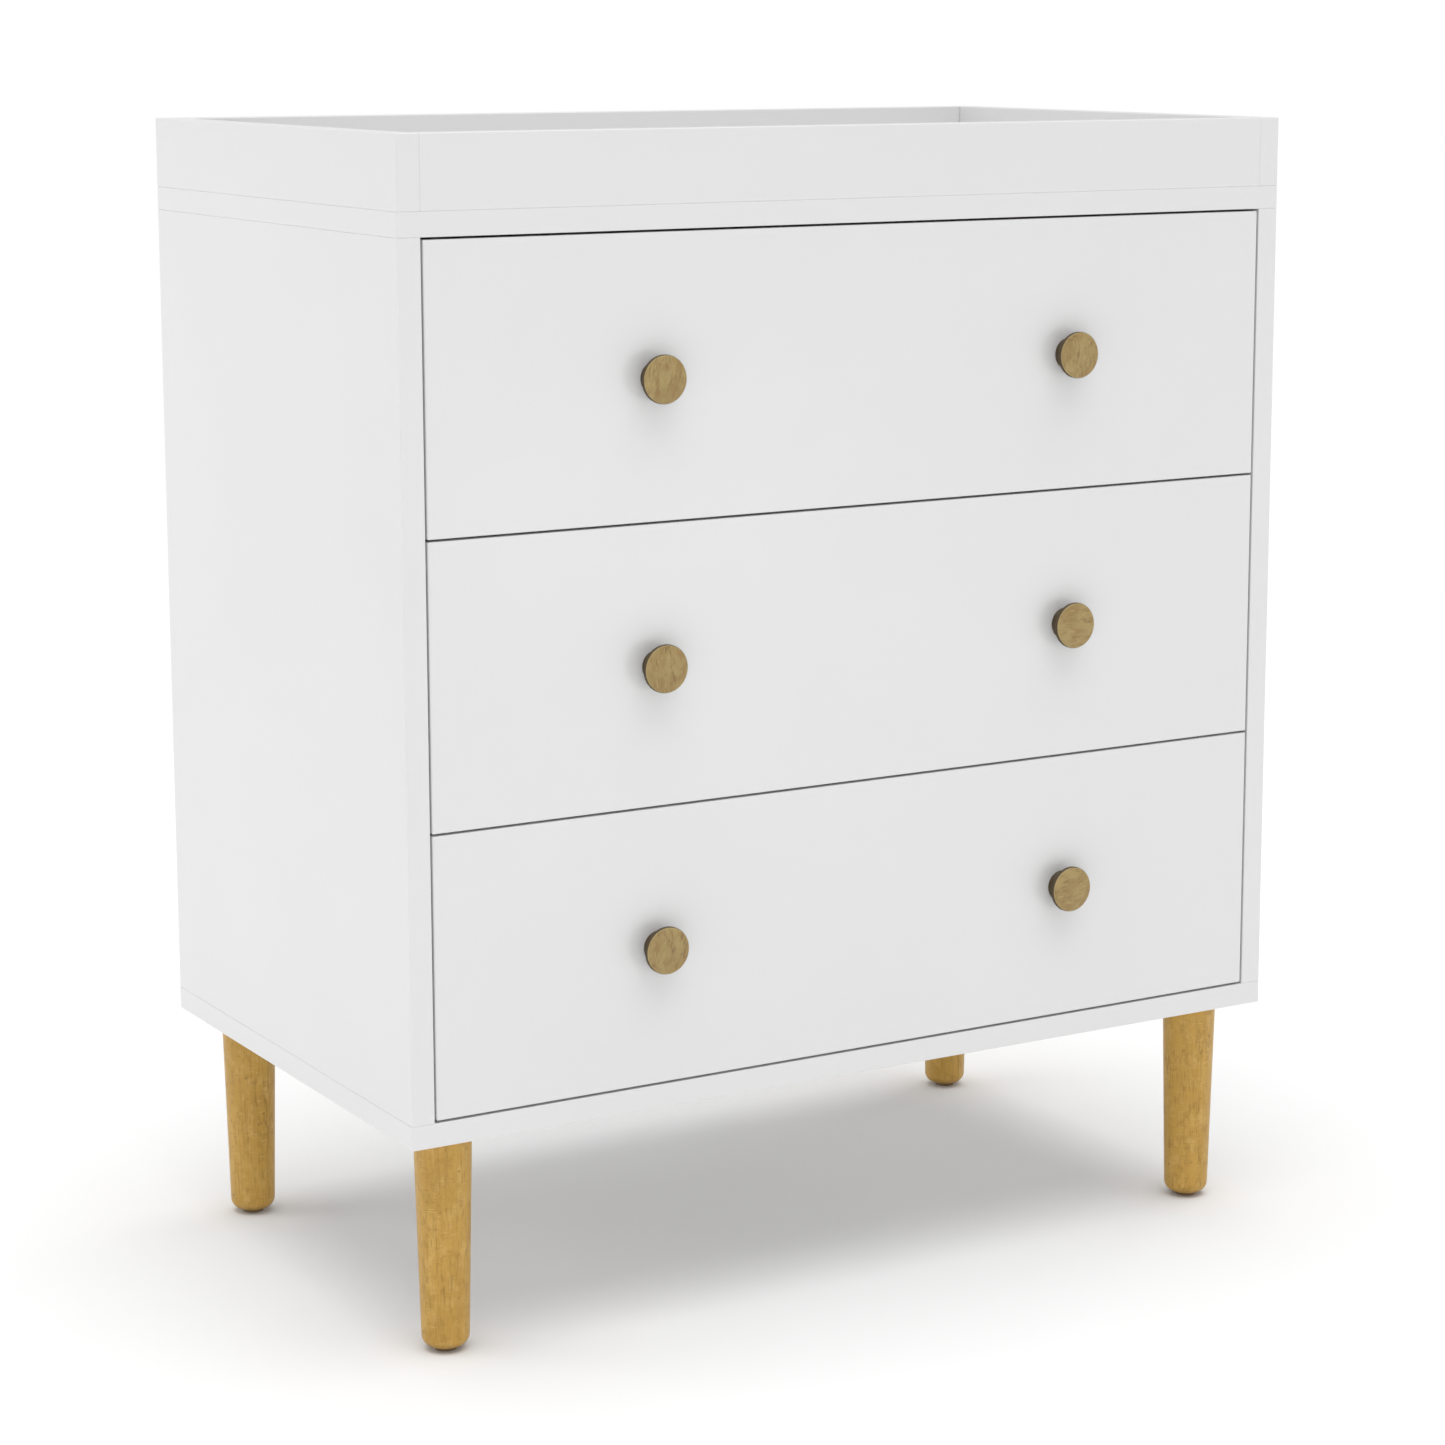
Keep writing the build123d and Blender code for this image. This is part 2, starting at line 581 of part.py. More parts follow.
def drawer(level):
    """Every piece that travels with a drawer, by name."""
    name = f"{DRAWER_NAMES[level]}_drawer"
    low = front_bottom(level)
    bottom = low + BOX_LIFT
    floor_low = bottom + BOX_FLOOR_LIFT
    floor_top = floor_low + BOX_FLOOR
    cam_fittings, box_screws = box_fittings(bottom, floor_top)
    rail_screws = both_hands(slide_screws(level)[1])
    half = KNOB_SPACING / 2
    knob_places = [Vector(x, CASE_FRONT, low + FRONT_HEIGHT / 2) for x in (-half, half)]
    knob_screws = [knob_screw(place + BACKWARD * FRONT_BOARD) for place in knob_places]
    fittings = cam_fittings + box_screws + rail_screws + knob_screws

    side_gap = SIDE_IN + FRONT_GAP
    front = board((side_gap, CASE_FRONT, low), (-side_gap, BOX_FRONT, low + FRONT_HEIGHT), FRONT_EASE)
    groove = block(
        (BOX_IN - BOX_GROOVE, BOX_FRONT - BOX_GROOVE, floor_low - GROOVE_CLEARANCE),
        (-BOX_IN + BOX_GROOVE, BOX_REAR, floor_top + GROOVE_CLEARANCE),
    )
    side = board((BOX_OUT, BOX_FRONT, bottom), (BOX_IN, BOX_REAR, bottom + BOX_HEIGHT), BOX_EASE) - groove
    back = board(
        (BOX_IN, BOX_REAR - BOX_BOARD, floor_top), (-BOX_IN, BOX_REAR, bottom + BOX_HEIGHT), BOX_EASE
    )
    fit = BOX_GROOVE - GROOVE_CLEARANCE
    floor = block((BOX_IN - fit, BOX_FRONT - fit, floor_low), (-BOX_IN + fit, BOX_REAR, floor_top))
    knobs = [Plane(origin=place, x_dir=RIGHT, z_dir=FORWARD) * knob() for place in knob_places]
    return {
        f"{name}_front": drilled(front - groove, fittings),
        f"{name}_side_left": drilled(side, fittings),
        f"{name}_side_right": drilled(side.mirror(Plane.YZ), fittings),
        f"{name}_back": drilled(back, fittings),
        f"{name}_bottom": drilled(floor, fittings),
        f"{name}_knob_left": knobs[0],
        f"{name}_knob_right": knobs[1],
        f"{name}_knob_screws": group(fitting.solid for fitting in knob_screws),
        f"{name}_cam_fittings": group(fitting.solid for fitting in cam_fittings),
        f"{name}_screws": group(fitting.solid for fitting in box_screws + rail_screws),
        f"{name}_rails": group(drilled(rail, rail_screws) for rail in both_sides([slide_rails(level)[2]])),
        f"{name}_middle_rails": group(both_sides([slide_rails(level)[1]])),
    }


def build():
    """Every piece of the changing table, by name."""
    cams, bolts, dowels = case_fittings()
    dowels += tray_dowels()
    inserts = [leg_insert(place) for place in leg_places().values()]
    brackets, bracket_screws = tray_brackets()
    anchor, anchor_screws = wall_anchor()
    levels = range(len(DRAWER_NAMES))
    rail_screws = both_hands([screw for level in levels for screw in slide_screws(level)[0]])
    screws = bracket_screws + anchor_screws + rail_screws
    fittings = cams + bolts + dowels + inserts + screws
    case_rails = both_sides([slide_rails(level)[0] for level in levels])
    pieces = case_boards(fittings) | tray_boards(fittings)
    for name, place in leg_places().items():
        pieces[name] = leg(place)
    pieces["leg_glides"] = group(glide(place) for place in leg_places().values())
    pieces["leg_bolts"] = group(leg_bolt(place) for place in leg_places().values())
    pieces["leg_inserts"] = group(insert.solid for insert in inserts)
    pieces["cam_locks"] = group(cam.solid for cam in cams)
    pieces["cam_bolts"] = group(bolt.solid for bolt in bolts)
    pieces["dowels"] = group(pin.solid for pin in dowels)
    pieces["panel_screws"] = group(screw.solid for screw in screws)
    pieces["tray_brackets"] = group(brackets)
    pieces["wall_anchor_bracket"] = anchor
    pieces["case_slide_rails"] = group(drilled(rail, rail_screws) for rail in case_rails)
    for level in levels:
        pieces |= drawer(level)
    return pieces


os.makedirs("parts", exist_ok=True)
for piece_name, piece in build().items():
    export_step(piece, f"parts/{piece_name}.step")
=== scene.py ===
"""The looks of a changing table: finishes for its boards, wood and steel, its screws, and its slides' balls.

Everything is in metres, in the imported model's frame: +X is the user's right, +Y goes to the wall, +Z is
up, and the origin is on the floor under the middle of the table.
"""

import json
import logging
import math
from dataclasses import dataclass, field, replace
from enum import Enum
from typing import Any, Iterable, Protocol

import bmesh
import bpy
import numpy as np
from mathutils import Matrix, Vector


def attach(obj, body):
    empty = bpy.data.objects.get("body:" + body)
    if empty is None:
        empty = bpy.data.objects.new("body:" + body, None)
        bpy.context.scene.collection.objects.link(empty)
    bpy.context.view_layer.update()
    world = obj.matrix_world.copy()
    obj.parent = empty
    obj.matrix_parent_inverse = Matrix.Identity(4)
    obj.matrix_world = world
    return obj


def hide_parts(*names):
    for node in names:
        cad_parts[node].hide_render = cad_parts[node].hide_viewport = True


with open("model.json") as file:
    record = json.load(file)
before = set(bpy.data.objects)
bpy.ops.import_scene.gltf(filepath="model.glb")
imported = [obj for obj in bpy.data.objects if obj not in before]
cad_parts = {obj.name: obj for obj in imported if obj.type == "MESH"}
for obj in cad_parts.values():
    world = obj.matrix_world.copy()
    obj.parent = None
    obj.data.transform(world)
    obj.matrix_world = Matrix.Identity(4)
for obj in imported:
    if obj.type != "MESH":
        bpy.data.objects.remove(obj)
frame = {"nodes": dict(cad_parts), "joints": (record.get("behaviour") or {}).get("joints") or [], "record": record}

MM = 0.001
LEVELS = ("top", "middle", "bottom")
RAIL_STEEL = 1.2 * MM
MERGE_DISTANCE = 0.002 * MM
WAVE_PERIOD = 20.0  # a Wave Texture's bands at a scale of 1 are tau / 20 apart
WOOD_THREAD_MM = 1.4
MACHINE_THREAD_MM = 0.8
log = logging.getLogger("changing_table")


# ---------------------------------------------------------------- small helpers


def linear(code: str) -> tuple[float, float, float, float]:
    """Turns an sRGB hex colour to the linear values that shaders take.

    Args:
        code: a colour such as "#E1E1E1".

    Returns:
        Red, green, blue and an alpha of 1.
    """
    parts = [int(code[i : i + 2], 16) / 255 for i in (1, 3, 5)]
    red, green, blue = (c / 12.92 if c <= 0.04045 else ((c + 0.055) / 1.055) ** 2.4 for c in parts)
    return red, green, blue, 1.0


def add(tree: bpy.types.NodeTree, kind: str, inputs: dict | None = None, **settings: Any) -> bpy.types.Node:
    """Adds one node, with its settings and its inputs.

    Args:
        tree: the node tree to add to.
        kind: the node's type.
        inputs: for each socket's name or number, a value, or another node's output to link.
        settings: the node's own properties.

    Returns:
        The new node.
    """
    node = tree.nodes.new(kind)
    for name, value in settings.items():
        setattr(node, name, value)
    for key, value in (inputs or {}).items():
        if isinstance(value, bpy.types.NodeSocket):
            tree.links.new(value, node.inputs[key])
        else:
            node.inputs[key].default_value = value
    return node


def empty_material(name: str) -> tuple[bpy.types.Material, bpy.types.NodeTree]:
    """Makes a material whose node tree is still empty.

    Args:
        name: the material's name.

    Returns:
        The material and its node tree.
    """
    material = bpy.data.materials.new(name)
    material.use_nodes = True
    material.node_tree.nodes.clear()
    return material, material.node_tree


@dataclass(frozen=True)
class Relief:
    """A pattern that shows as low bumps in a surface's highlights."""

    height: bpy.types.NodeSocket
    depth_mm: float
    strength: float = 0.5


def close_surface(
    tree: bpy.types.NodeTree,
    blend: bpy.types.NodeSocket,
    colours: tuple[str, str],
    shader: dict[str, Any],
    relief: Relief | None = None,
) -> None:
    """Closes a material whose pattern blends two colours, with a relief if it has one.

    Args:
        tree: the material's node tree.
        blend: the pattern, 0 where the first colour is and 1 where the second is.
        colours: the two colours.
        shader: the shader's other inputs.
        relief: its bumps.
    """
    first, second = (linear(colour) for colour in colours)
    tone = add(tree, "ShaderNodeMix", {0: blend, 6: first, 7: second}, data_type="RGBA").outputs[2]
    inputs = {"Base Color": tone} | shader
    if relief is not None:
        bump = add(
            tree,
            "ShaderNodeBump",
            {"Height": relief.height, "Distance": relief.depth_mm * MM, "Strength": relief.strength},
        )
        inputs["Normal"] = bump.outputs[0]
    surface = add(tree, "ShaderNodeBsdfPrincipled", inputs)
    add(tree, "ShaderNodeOutputMaterial", {"Surface": surface.outputs[0]})


def new_piece(name: str, mesh: bpy.types.Mesh) -> bpy.types.Object:
    """Puts a mesh in the scene as an object at the origin.

    Args:
        name: the object's name.
        mesh: its mesh, with its place in it.

    Returns:
        The object.
    """
    piece = bpy.data.objects.new(name, mesh)
    bpy.context.scene.collection.objects.link(piece)
    return piece


def soften(mesh: bpy.types.Mesh, angle: float = math.radians(35)) -> None:
    """Shades a mesh smooth, apart from its edges sharper than the angle.

    Args:
        mesh: the mesh.
        angle: the smallest turn between two faces that stays sharp.
    """
    mesh.polygons.foreach_set("use_smooth", [True] * len(mesh.polygons))
    mesh.set_sharp_from_angle(angle=angle)


# ---------------------------------------------------------------- finishes


class Finish(Protocol):
    """Anything that can be made into a material."""

    def material(self) -> bpy.types.Material:
        """The finish as a material."""


@dataclass(frozen=True)
class SatinLacquer:
    """White lacquer sprayed on fibreboard and left satin.

    The spray levels to a film with a faint orange peel, so highlights are wide and slightly broken, and
    the film is a little thicker in places, which gives soft clouds in the gloss and almost none in the tone.
    """

    name: str = "satin_white_lacquer"
    colour: str = "#E9E9E9"
    cloud_colour: str = "#E6E6E6"
    roughness: float = 0.34
    roughness_spread: float = 0.08
    cloud_mm: float = 150.0
    peel_mm: float = 2.4  # real peel is under 1 mm: drawn coarser so that it shows
    peel_depth_mm: float = 0.012
    ior: float = 1.5

    def material(self) -> bpy.types.Material:
        """The lacquer as a material."""
        material, tree = empty_material(self.name)
        place = add(tree, "ShaderNodeTexCoord").outputs["Object"]
        cloud = add(
            tree, "ShaderNodeTexNoise", {"Vector": place, "Scale": 1 / (self.cloud_mm * MM), "Detail": 3.0}
        ).outputs["Fac"]
        gloss = add(
            tree,
            "ShaderNodeMapRange",
            {
                "Value": cloud,
                "To Min": self.roughness - self.roughness_spread / 2,
                "To Max": self.roughness + self.roughness_spread / 2,
            },
        ).outputs[0]
        peel = add(
            tree, "ShaderNodeTexNoise", {"Vector": place, "Scale": 1 / (self.peel_mm * MM), "Detail": 1.0}
        ).outputs["Fac"]
        close_surface(
            tree,
            cloud,
            (self.colour, self.cloud_colour),
            {"Roughness": gloss, "IOR": self.ior},
            Relief(peel, self.peel_depth_mm),
        )
        return material


@dataclass(frozen=True)
class MelamineBoard:
    """Chipboard faced with melamine paper, pressed between textured plates.

    The plate leaves a fine pearl of low bumps, so it looks drier and flatter than the lacquer beside it.
    """

    name: str = "pearl_white_melamine"
    colour: str = "#E8E8E6"
    speck_colour: str = "#DFDFDC"
    roughness: float = 0.5
    pearl_mm: float = 1.6  # real pearl is about 0.6 mm: drawn coarser so that it shows
    pearl_depth_mm: float = 0.05
    ior: float = 1.5

    def material(self) -> bpy.types.Material:
        """The board as a material."""
        material, tree = empty_material(self.name)
        place = add(tree, "ShaderNodeTexCoord").outputs["Object"]
        pearl = add(
            tree,
            "ShaderNodeTexVoronoi",
            {"Vector": place, "Scale": 1 / (self.pearl_mm * MM)},
            feature="SMOOTH_F1",
        ).outputs["Distance"]
        close_surface(
            tree,
            pearl,
            (self.colour, self.speck_colour),
            {"Roughness": self.roughness, "IOR": self.ior},
            Relief(pearl, self.pearl_depth_mm, strength=0.6),
        )
        return material


@dataclass(frozen=True)
class FacedHardboard:
    """Thin hardboard with a painted white face over the print of the wire screen that it was pressed on.

    The screen shows as a fine square weave when light grazes the board, and fibres show as faint specks.
    """

    name: str = "white_faced_hardboard"
    colour: str = "#E6E6E4"
    fibre_colour: str = "#DFDEDB"
    roughness: float = 0.58
    screen_mm: float = 2.2  # real screen is about 1.2 mm: drawn coarser so that it shows
    screen_depth_mm: float = 0.06
    fibre_mm: float = 3.0
    fibre_start: float = 0.58
    fibre_full: float = 0.72
    ior: float = 1.5

    def material(self) -> bpy.types.Material:
        """The hardboard as a material."""
        material, tree = empty_material(self.name)
        place = add(tree, "ShaderNodeTexCoord").outputs["Object"]
        scale = math.tau / WAVE_PERIOD / (self.screen_mm * MM)
        across, up, deep = (
            add(tree, "ShaderNodeTexWave", {"Vector": place, "Scale": scale}, bands_direction=axis)
            for axis in ("X", "Z", "Y")
        )
        weave = add(tree, "ShaderNodeMath", {0: across.outputs["Fac"], 1: up.outputs["Fac"]}, operation="ADD")
        screen = add(tree, "ShaderNodeMath", {0: weave.outputs[0], 1: deep.outputs["Fac"]}, operation="ADD")
        fibre = add(
            tree, "ShaderNodeTexNoise", {"Vector": place, "Scale": 1 / (self.fibre_mm * MM), "Detail": 6.0}
        )
        specks = add(
            tree,
            "ShaderNodeMapRange",
            {
                "Value": fibre.outputs["Fac"],
                "From Min": self.fibre_start,
                "From Max": self.fibre_full,
            },
        )
        close_surface(
            tree,
            specks.outputs[0],
            (self.colour, self.fibre_colour),
            {"Roughness": self.roughness, "IOR": self.ior},
            Relief(screen.outputs[0], self.screen_depth_mm),
        )
        return material


@dataclass(frozen=True)
class Mark:
    """One kind of natural mark in wood, such as pores, streaks or ray flecks."""

    across_mm: float
    along_mm: float
    start: float
    full: float
    colour: str
    strength: float


@dataclass(frozen=True)
class TurnedWood:
    """Close-grained wood turned on a lathe, sanded along the grain and clear lacquered.

    Soft clouds and streaks run along the grain, crossed by short ray flecks. A few thin dark veins wander
    along it, with pin knots between them. Surfaces that turn away from the facing axis are painted darker:
    on the knobs this is painted shade on the neck and the sides behind the face, and on the legs and dowels
    it darkens what faces down, such as a leg's end grain at its foot. A knob's rounded rim gets a painted
    highlight. The lacquer is thin, so the marks still show as small dents in the highlight.
    """

    name: str
    colour: str
    marks: tuple[Mark, ...]
    vein_colour: str
    knot_colour: str
    vein_across_mm: float = 16.0
    vein_along_mm: float = 130.0
    vein_width: float = 0.012
    vein_gap_mm: tuple[float, float] = (30.0, 22.0)
    vein_gap_span: tuple[float, float] = (0.42, 0.6)
    vein_strength: float = 0.6
    knot_spacing_mm: float = 15.0
    knot_mm: float = 1.5
    knot_strength: float = 0.7
    grain: tuple[int, int, int] = (0, 0, 1)
    turn: float = 0.0
    # Painted shade: this colour and mask darken surfaces turned away from the axis below; on the legs and dowels
    # that is what faces down, such as a leg's end grain at its foot.
    cut_colour: str = "#7A5A26"
    cut_strength: float = 0.5
    cut_axis: tuple[float, float, float] = (0.0, 0.0, -1.0)
    cut_span: tuple[float, float] = (0.35, 0.95)
    # Painted highlight: a lighter ring where a rim rounds over; it is off unless its strength is set.
    rim_colour: str = "#D8C08A"
    rim_strength: float = 0.0
    rim_span: tuple[float, float] = (0.985, 0.9)
    roughness: float = 0.42
    dent_mm: float = 0.04
    ior: float = 1.5

    def pattern(
        self, tree: bpy.types.NodeTree, across_mm: float, along_mm: float, detail: float
    ) -> bpy.types.NodeSocket:
        """Adds noise that is drawn out along the grain.

        Args:
            tree: the material's node tree.
            across_mm: the noise's size across the grain.
            along_mm: its size along the grain.
            detail: how much finer noise is in it.

        Returns:
            The noise, about 0.5 on average.
        """
        place = add(tree, "ShaderNodeTexCoord").outputs["Object"]
        size = [(along_mm if g else across_mm) * MM for g in self.grain]
        drawn = add(
            tree,
            "ShaderNodeMapping",
            {"Vector": place, "Rotation": (0.0, self.turn, 0.0), "Scale": size},
            vector_type="TEXTURE",
        )
        return add(
            tree, "ShaderNodeTexNoise", {"Vector": drawn.outputs[0], "Scale": 1.0, "Detail": detail}
        ).outputs["Fac"]

    def vein(self, tree: bpy.types.NodeTree) -> bpy.types.NodeSocket:
        """Adds thin lines that wander along the grain and fade in and out.

        Args:
            tree: the material's node tree.

        Returns:
            How strong a vein is, from 0 to vein_strength.
        """
        wander = self.pattern(tree, self.vein_across_mm, self.vein_along_mm, detail=2.5)
        off = add(tree, "ShaderNodeMath", {0: wander, 1: 0.5}, operation="SUBTRACT")
        away = add(tree, "ShaderNodeMath", {0: off.outputs[0]}, operation="ABSOLUTE")
        line = add(
            tree,
            "ShaderNodeMapRange",
            {
                "Value": away.outputs[0],
                "From Max": self.vein_width,
                "To Min": self.vein_strength,
                "To Max": 0.0,
            },
        )
        gap, unbroken = self.vein_gap_span
        gaps = self.pattern(tree, *self.vein_gap_mm, detail=2.0)
        fade = add(tree, "ShaderNodeMapRange", {"Value": gaps, "From Min": gap, "From Max": unbroken})
        return add(
            tree, "ShaderNodeMath", {0: line.outputs[0], 1: fade.outputs[0]}, operation="MULTIPLY"
        ).outputs[0]

    def knots(self, tree: bpy.types.NodeTree) -> bpy.types.NodeSocket:
        """Adds scattered pin knots.

        Args:
            tree: the material's node tree.

        Returns:
            How strong a knot is, from 0 to knot_strength.
        """
        place = add(tree, "ShaderNodeTexCoord").outputs["Object"]
        cells = add(
            tree, "ShaderNodeTexVoronoi", {"Vector": place, "Scale": 1 / (self.knot_spacing_mm * MM)}
        )
        size = self.knot_mm / self.knot_spacing_mm
        return add(
            tree,
            "ShaderNodeMapRange",
            {
                "Value": cells.outputs["Distance"],
                "From Min": 0.3 * size,
                "From Max": size,
                "To Min": self.knot_strength,
                "To Max": 0.0,
            },
        ).outputs[0]

    def facing(
        self, tree: bpy.types.NodeTree, span: tuple[float, float], strength: float
    ) -> bpy.types.NodeSocket:
        """Adds a mask by how squarely the surface faces the given axis: the rim's painted highlight, or the
        painted shade on the sides.

        Args:
            tree: the material's node tree.
            span: the cosines at which the mask starts and is full.
            strength: its greatest value.

        Returns:
            The mask.
        """
        start, full = span
        normal = add(tree, "ShaderNodeNewGeometry").outputs["Normal"]
        cosine = add(tree, "ShaderNodeVectorMath", {0: normal, 1: self.cut_axis}, operation="DOT_PRODUCT")
        return add(
            tree,
            "ShaderNodeMapRange",
            {
                "Value": cosine.outputs["Value"],
                "From Min": start,
                "From Max": full,
                "To Max": strength,
            },
        ).outputs[0]

    def material(self) -> bpy.types.Material:
        """The wood as a material."""
        material, tree = empty_material(self.name)
        layers = []
        for mark in self.marks:
            spread = self.pattern(tree, mark.across_mm, mark.along_mm, detail=3.0)
            amount = add(
                tree,
                "ShaderNodeMapRange",
                {"Value": spread, "From Min": mark.start, "From Max": mark.full, "To Max": mark.strength},
            )
            layers.append((amount.outputs[0], mark.colour))
        layers.append((self.vein(tree), self.vein_colour))
        layers.append((self.knots(tree), self.knot_colour))
        dents: bpy.types.NodeSocket | float = 0.0
        tone: bpy.types.NodeSocket | tuple[float, ...] = linear(self.colour)
        # Painted light: a painted highlight on a rounded rim, then painted shade where the surface turns away from
        # the axis (on the legs, what faces down).
        turned = (
            (self.facing(tree, self.rim_span, self.rim_strength), self.rim_colour),
            (self.facing(tree, self.cut_span, self.cut_strength), self.cut_colour),
        )
        for amount, colour in (*layers, *turned):
            tone = add(
                tree, "ShaderNodeMix", {0: amount, 6: tone, 7: linear(colour)}, data_type="RGBA"
            ).outputs[2]
        for amount, _ in layers:
            dents = add(tree, "ShaderNodeMath", {0: dents, 1: amount}, operation="SUBTRACT").outputs[0]
        bump = add(tree, "ShaderNodeBump", {"Height": dents, "Distance": self.dent_mm * MM, "Strength": 0.5})
        shader = add(
            tree,
            "ShaderNodeBsdfPrincipled",
            {"Base Color": tone, "Roughness": self.roughness, "Normal": bump.outputs[0], "IOR": self.ior},
        )
        add(tree, "ShaderNodeOutputMaterial", {"Surface": shader.outputs[0]})
        return material


@dataclass(frozen=True)
class PlatedSteel:
    """Rolled or cold headed steel with a bright zinc plating.

    Zinc is bluish white and slightly cloudy, so the metal is bright but its reflections are soft, and the
    rolling leaves faint streaks along the piece.
    """

    name: str
    colour: str = "#C9CACC"
    cloud_colour: str = "#B5B7BA"
    roughness: float = 0.26
    roughness_spread: float = 0.14
    cloud_mm: float = 9.0
    streak_mm: float = 120.0

    def material(self) -> bpy.types.Material:
        """The plated steel as a material."""
        material, tree = empty_material(self.name)
        place = add(tree, "ShaderNodeTexCoord").outputs["Object"]
        across = 1 / (self.cloud_mm * MM)
        rolled = add(
            tree,
            "ShaderNodeMapping",
            {"Vector": place, "Scale": (across, 1 / (self.streak_mm * MM), across)},
        )
        cloud = add(
            tree, "ShaderNodeTexNoise", {"Vector": rolled.outputs[0], "Scale": 1.0, "Detail": 5.0}
        ).outputs["Fac"]
        gloss = add(
            tree,
            "ShaderNodeMapRange",
            {
                "Value": cloud,
                "From Min": 0.3,
                "From Max": 0.7,
                "To Min": self.roughness - self.roughness_spread / 2,
                "To Max": self.roughness + self.roughness_spread / 2,
            },
        ).outputs[0]
        close_surface(
            tree, cloud, (self.colour, self.cloud_colour), {"Metallic": 1.0, "Roughness": gloss}
        )
        return material


@dataclass(frozen=True)
class MouldedNylon:
    """Brown nylon from a spark-eroded mould: an even, fine matt grain that keeps it from shining."""

    name: str = "moulded_nylon"
    colour: str = "#7C6440"
    worn_colour: str = "#8A7250"
    roughness: float = 0.55
    grain_mm: float = 1.0
    grain_depth_mm: float = 0.03
    ior: float = 1.53

    def material(self) -> bpy.types.Material:
        """The nylon as a material."""
        material, tree = empty_material(self.name)
        place = add(tree, "ShaderNodeTexCoord").outputs["Object"]
        grain = add(
            tree, "ShaderNodeTexNoise", {"Vector": place, "Scale": 1 / (self.grain_mm * MM), "Detail": 4.0}
        ).outputs["Fac"]
        close_surface(
            tree,
            grain,
            (self.colour, self.worn_colour),
            {"Roughness": self.roughness, "IOR": self.ior},
            Relief(grain, self.grain_depth_mm, strength=0.6),
        )
        return material


LEG_WOOD = TurnedWood(
    name="golden_turned_wood",
    colour="#C79C45",
    marks=(
        Mark(across_mm=26.0, along_mm=60.0, start=0.45, full=0.7, colour="#B38934", strength=0.5),
        Mark(across_mm=9.0, along_mm=14.0, start=0.5, full=0.72, colour="#D9B266", strength=0.55),
        Mark(across_mm=7.0, along_mm=9.0, start=0.54, full=0.7, colour="#A9802F", strength=0.5),
        Mark(across_mm=2.4, along_mm=60.0, start=0.5, full=0.75, colour="#A57B2E", strength=0.4),
        Mark(across_mm=1.6, along_mm=16.0, start=0.58, full=0.72, colour="#916822", strength=0.5),
        Mark(across_mm=7.0, along_mm=1.3, start=0.62, full=0.7, colour="#8B611E", strength=0.4),
        Mark(across_mm=9.0, along_mm=1.5, start=0.63, full=0.72, colour="#F0CE89", strength=0.28),
    ),
    vein_colour="#845D1D",
    knot_colour="#684510",
)
KNOB_WOOD = TurnedWood(
    name="greyed_turned_wood",
    colour="#9F8653",
    marks=(
        Mark(across_mm=14.0, along_mm=18.0, start=0.42, full=0.62, colour="#AD9762", strength=0.65),
        Mark(across_mm=7.0, along_mm=12.0, start=0.48, full=0.66, colour="#927143", strength=0.6),
        Mark(across_mm=2.2, along_mm=9.0, start=0.56, full=0.7, colour="#7C5E34", strength=0.6),
        Mark(across_mm=1.4, along_mm=7.0, start=0.6, full=0.72, colour="#C4AF78", strength=0.6),
    ),
    vein_colour="#725733",
    vein_across_mm=12.0,
    vein_along_mm=40.0,
    vein_width=0.02,
    knot_colour="#614A2B",
    knot_spacing_mm=30.0,
    knot_strength=0.5,
    # Painted shade: the knob's neck and sides, all that faces away from the front, are painted a near black-brown.
    cut_colour="#3D2E14",
    cut_strength=0.95,
    cut_axis=(0.0, -1.0, 0.0),
    cut_span=(0.85, 0.55),
    # Painted highlight: a lighter ring where the knob's rim rounds over.
    rim_colour="#C1AF7A",
    rim_strength=0.35,
    roughness=0.5,
)
KNOB_TURNS = {
    "top_left": 15.0, "top_right": 2.0, "middle_left": -6.0,
    "middle_right": 88.0, "bottom_left": 10.0, "bottom_right": 70.0,
}
DOWEL_WOOD = TurnedWood(
    name="fluted_beech",
    colour="#CBA673",
    marks=(Mark(across_mm=0.8, along_mm=4.0, start=0.58, full=0.7, colour="#96703F", strength=0.6),),
    vein_colour="#B08B58",
    knot_colour="#96703F",
    roughness=0.6,
)
FINISHES: dict[str, Finish] = {
    "white_lacquer": SatinLacquer(),
    "white_drawer_board": MelamineBoard(),
    "white_hardboard": FacedHardboard(),
    "leg_wood": LEG_WOOD,
    "knob_wood": KNOB_WOOD,
    "beech_dowel": DOWEL_WOOD,
    "slide_steel": PlatedSteel(name="zinc_plated_rolled_steel"),
    "zinc_plated_steel": PlatedSteel(
        name="zinc_plated_screw_steel", roughness=0.3, cloud_mm=5.0, streak_mm=9.0
    ),
    "zinc_casting": PlatedSteel(
        name="die_cast_zinc",
        colour="#A9ABAE",
        cloud_colour="#96989C",
        roughness=0.45,
        cloud_mm=6.0,
        streak_mm=6.0,
    ),
    "nylon": MouldedNylon(),
}
BALL_STEEL = PlatedSteel(
    name="polished_ball_steel", colour="#D6D7D9", cloud_colour="#CBCCCF", roughness=0.1, roughness_spread=0.04
)


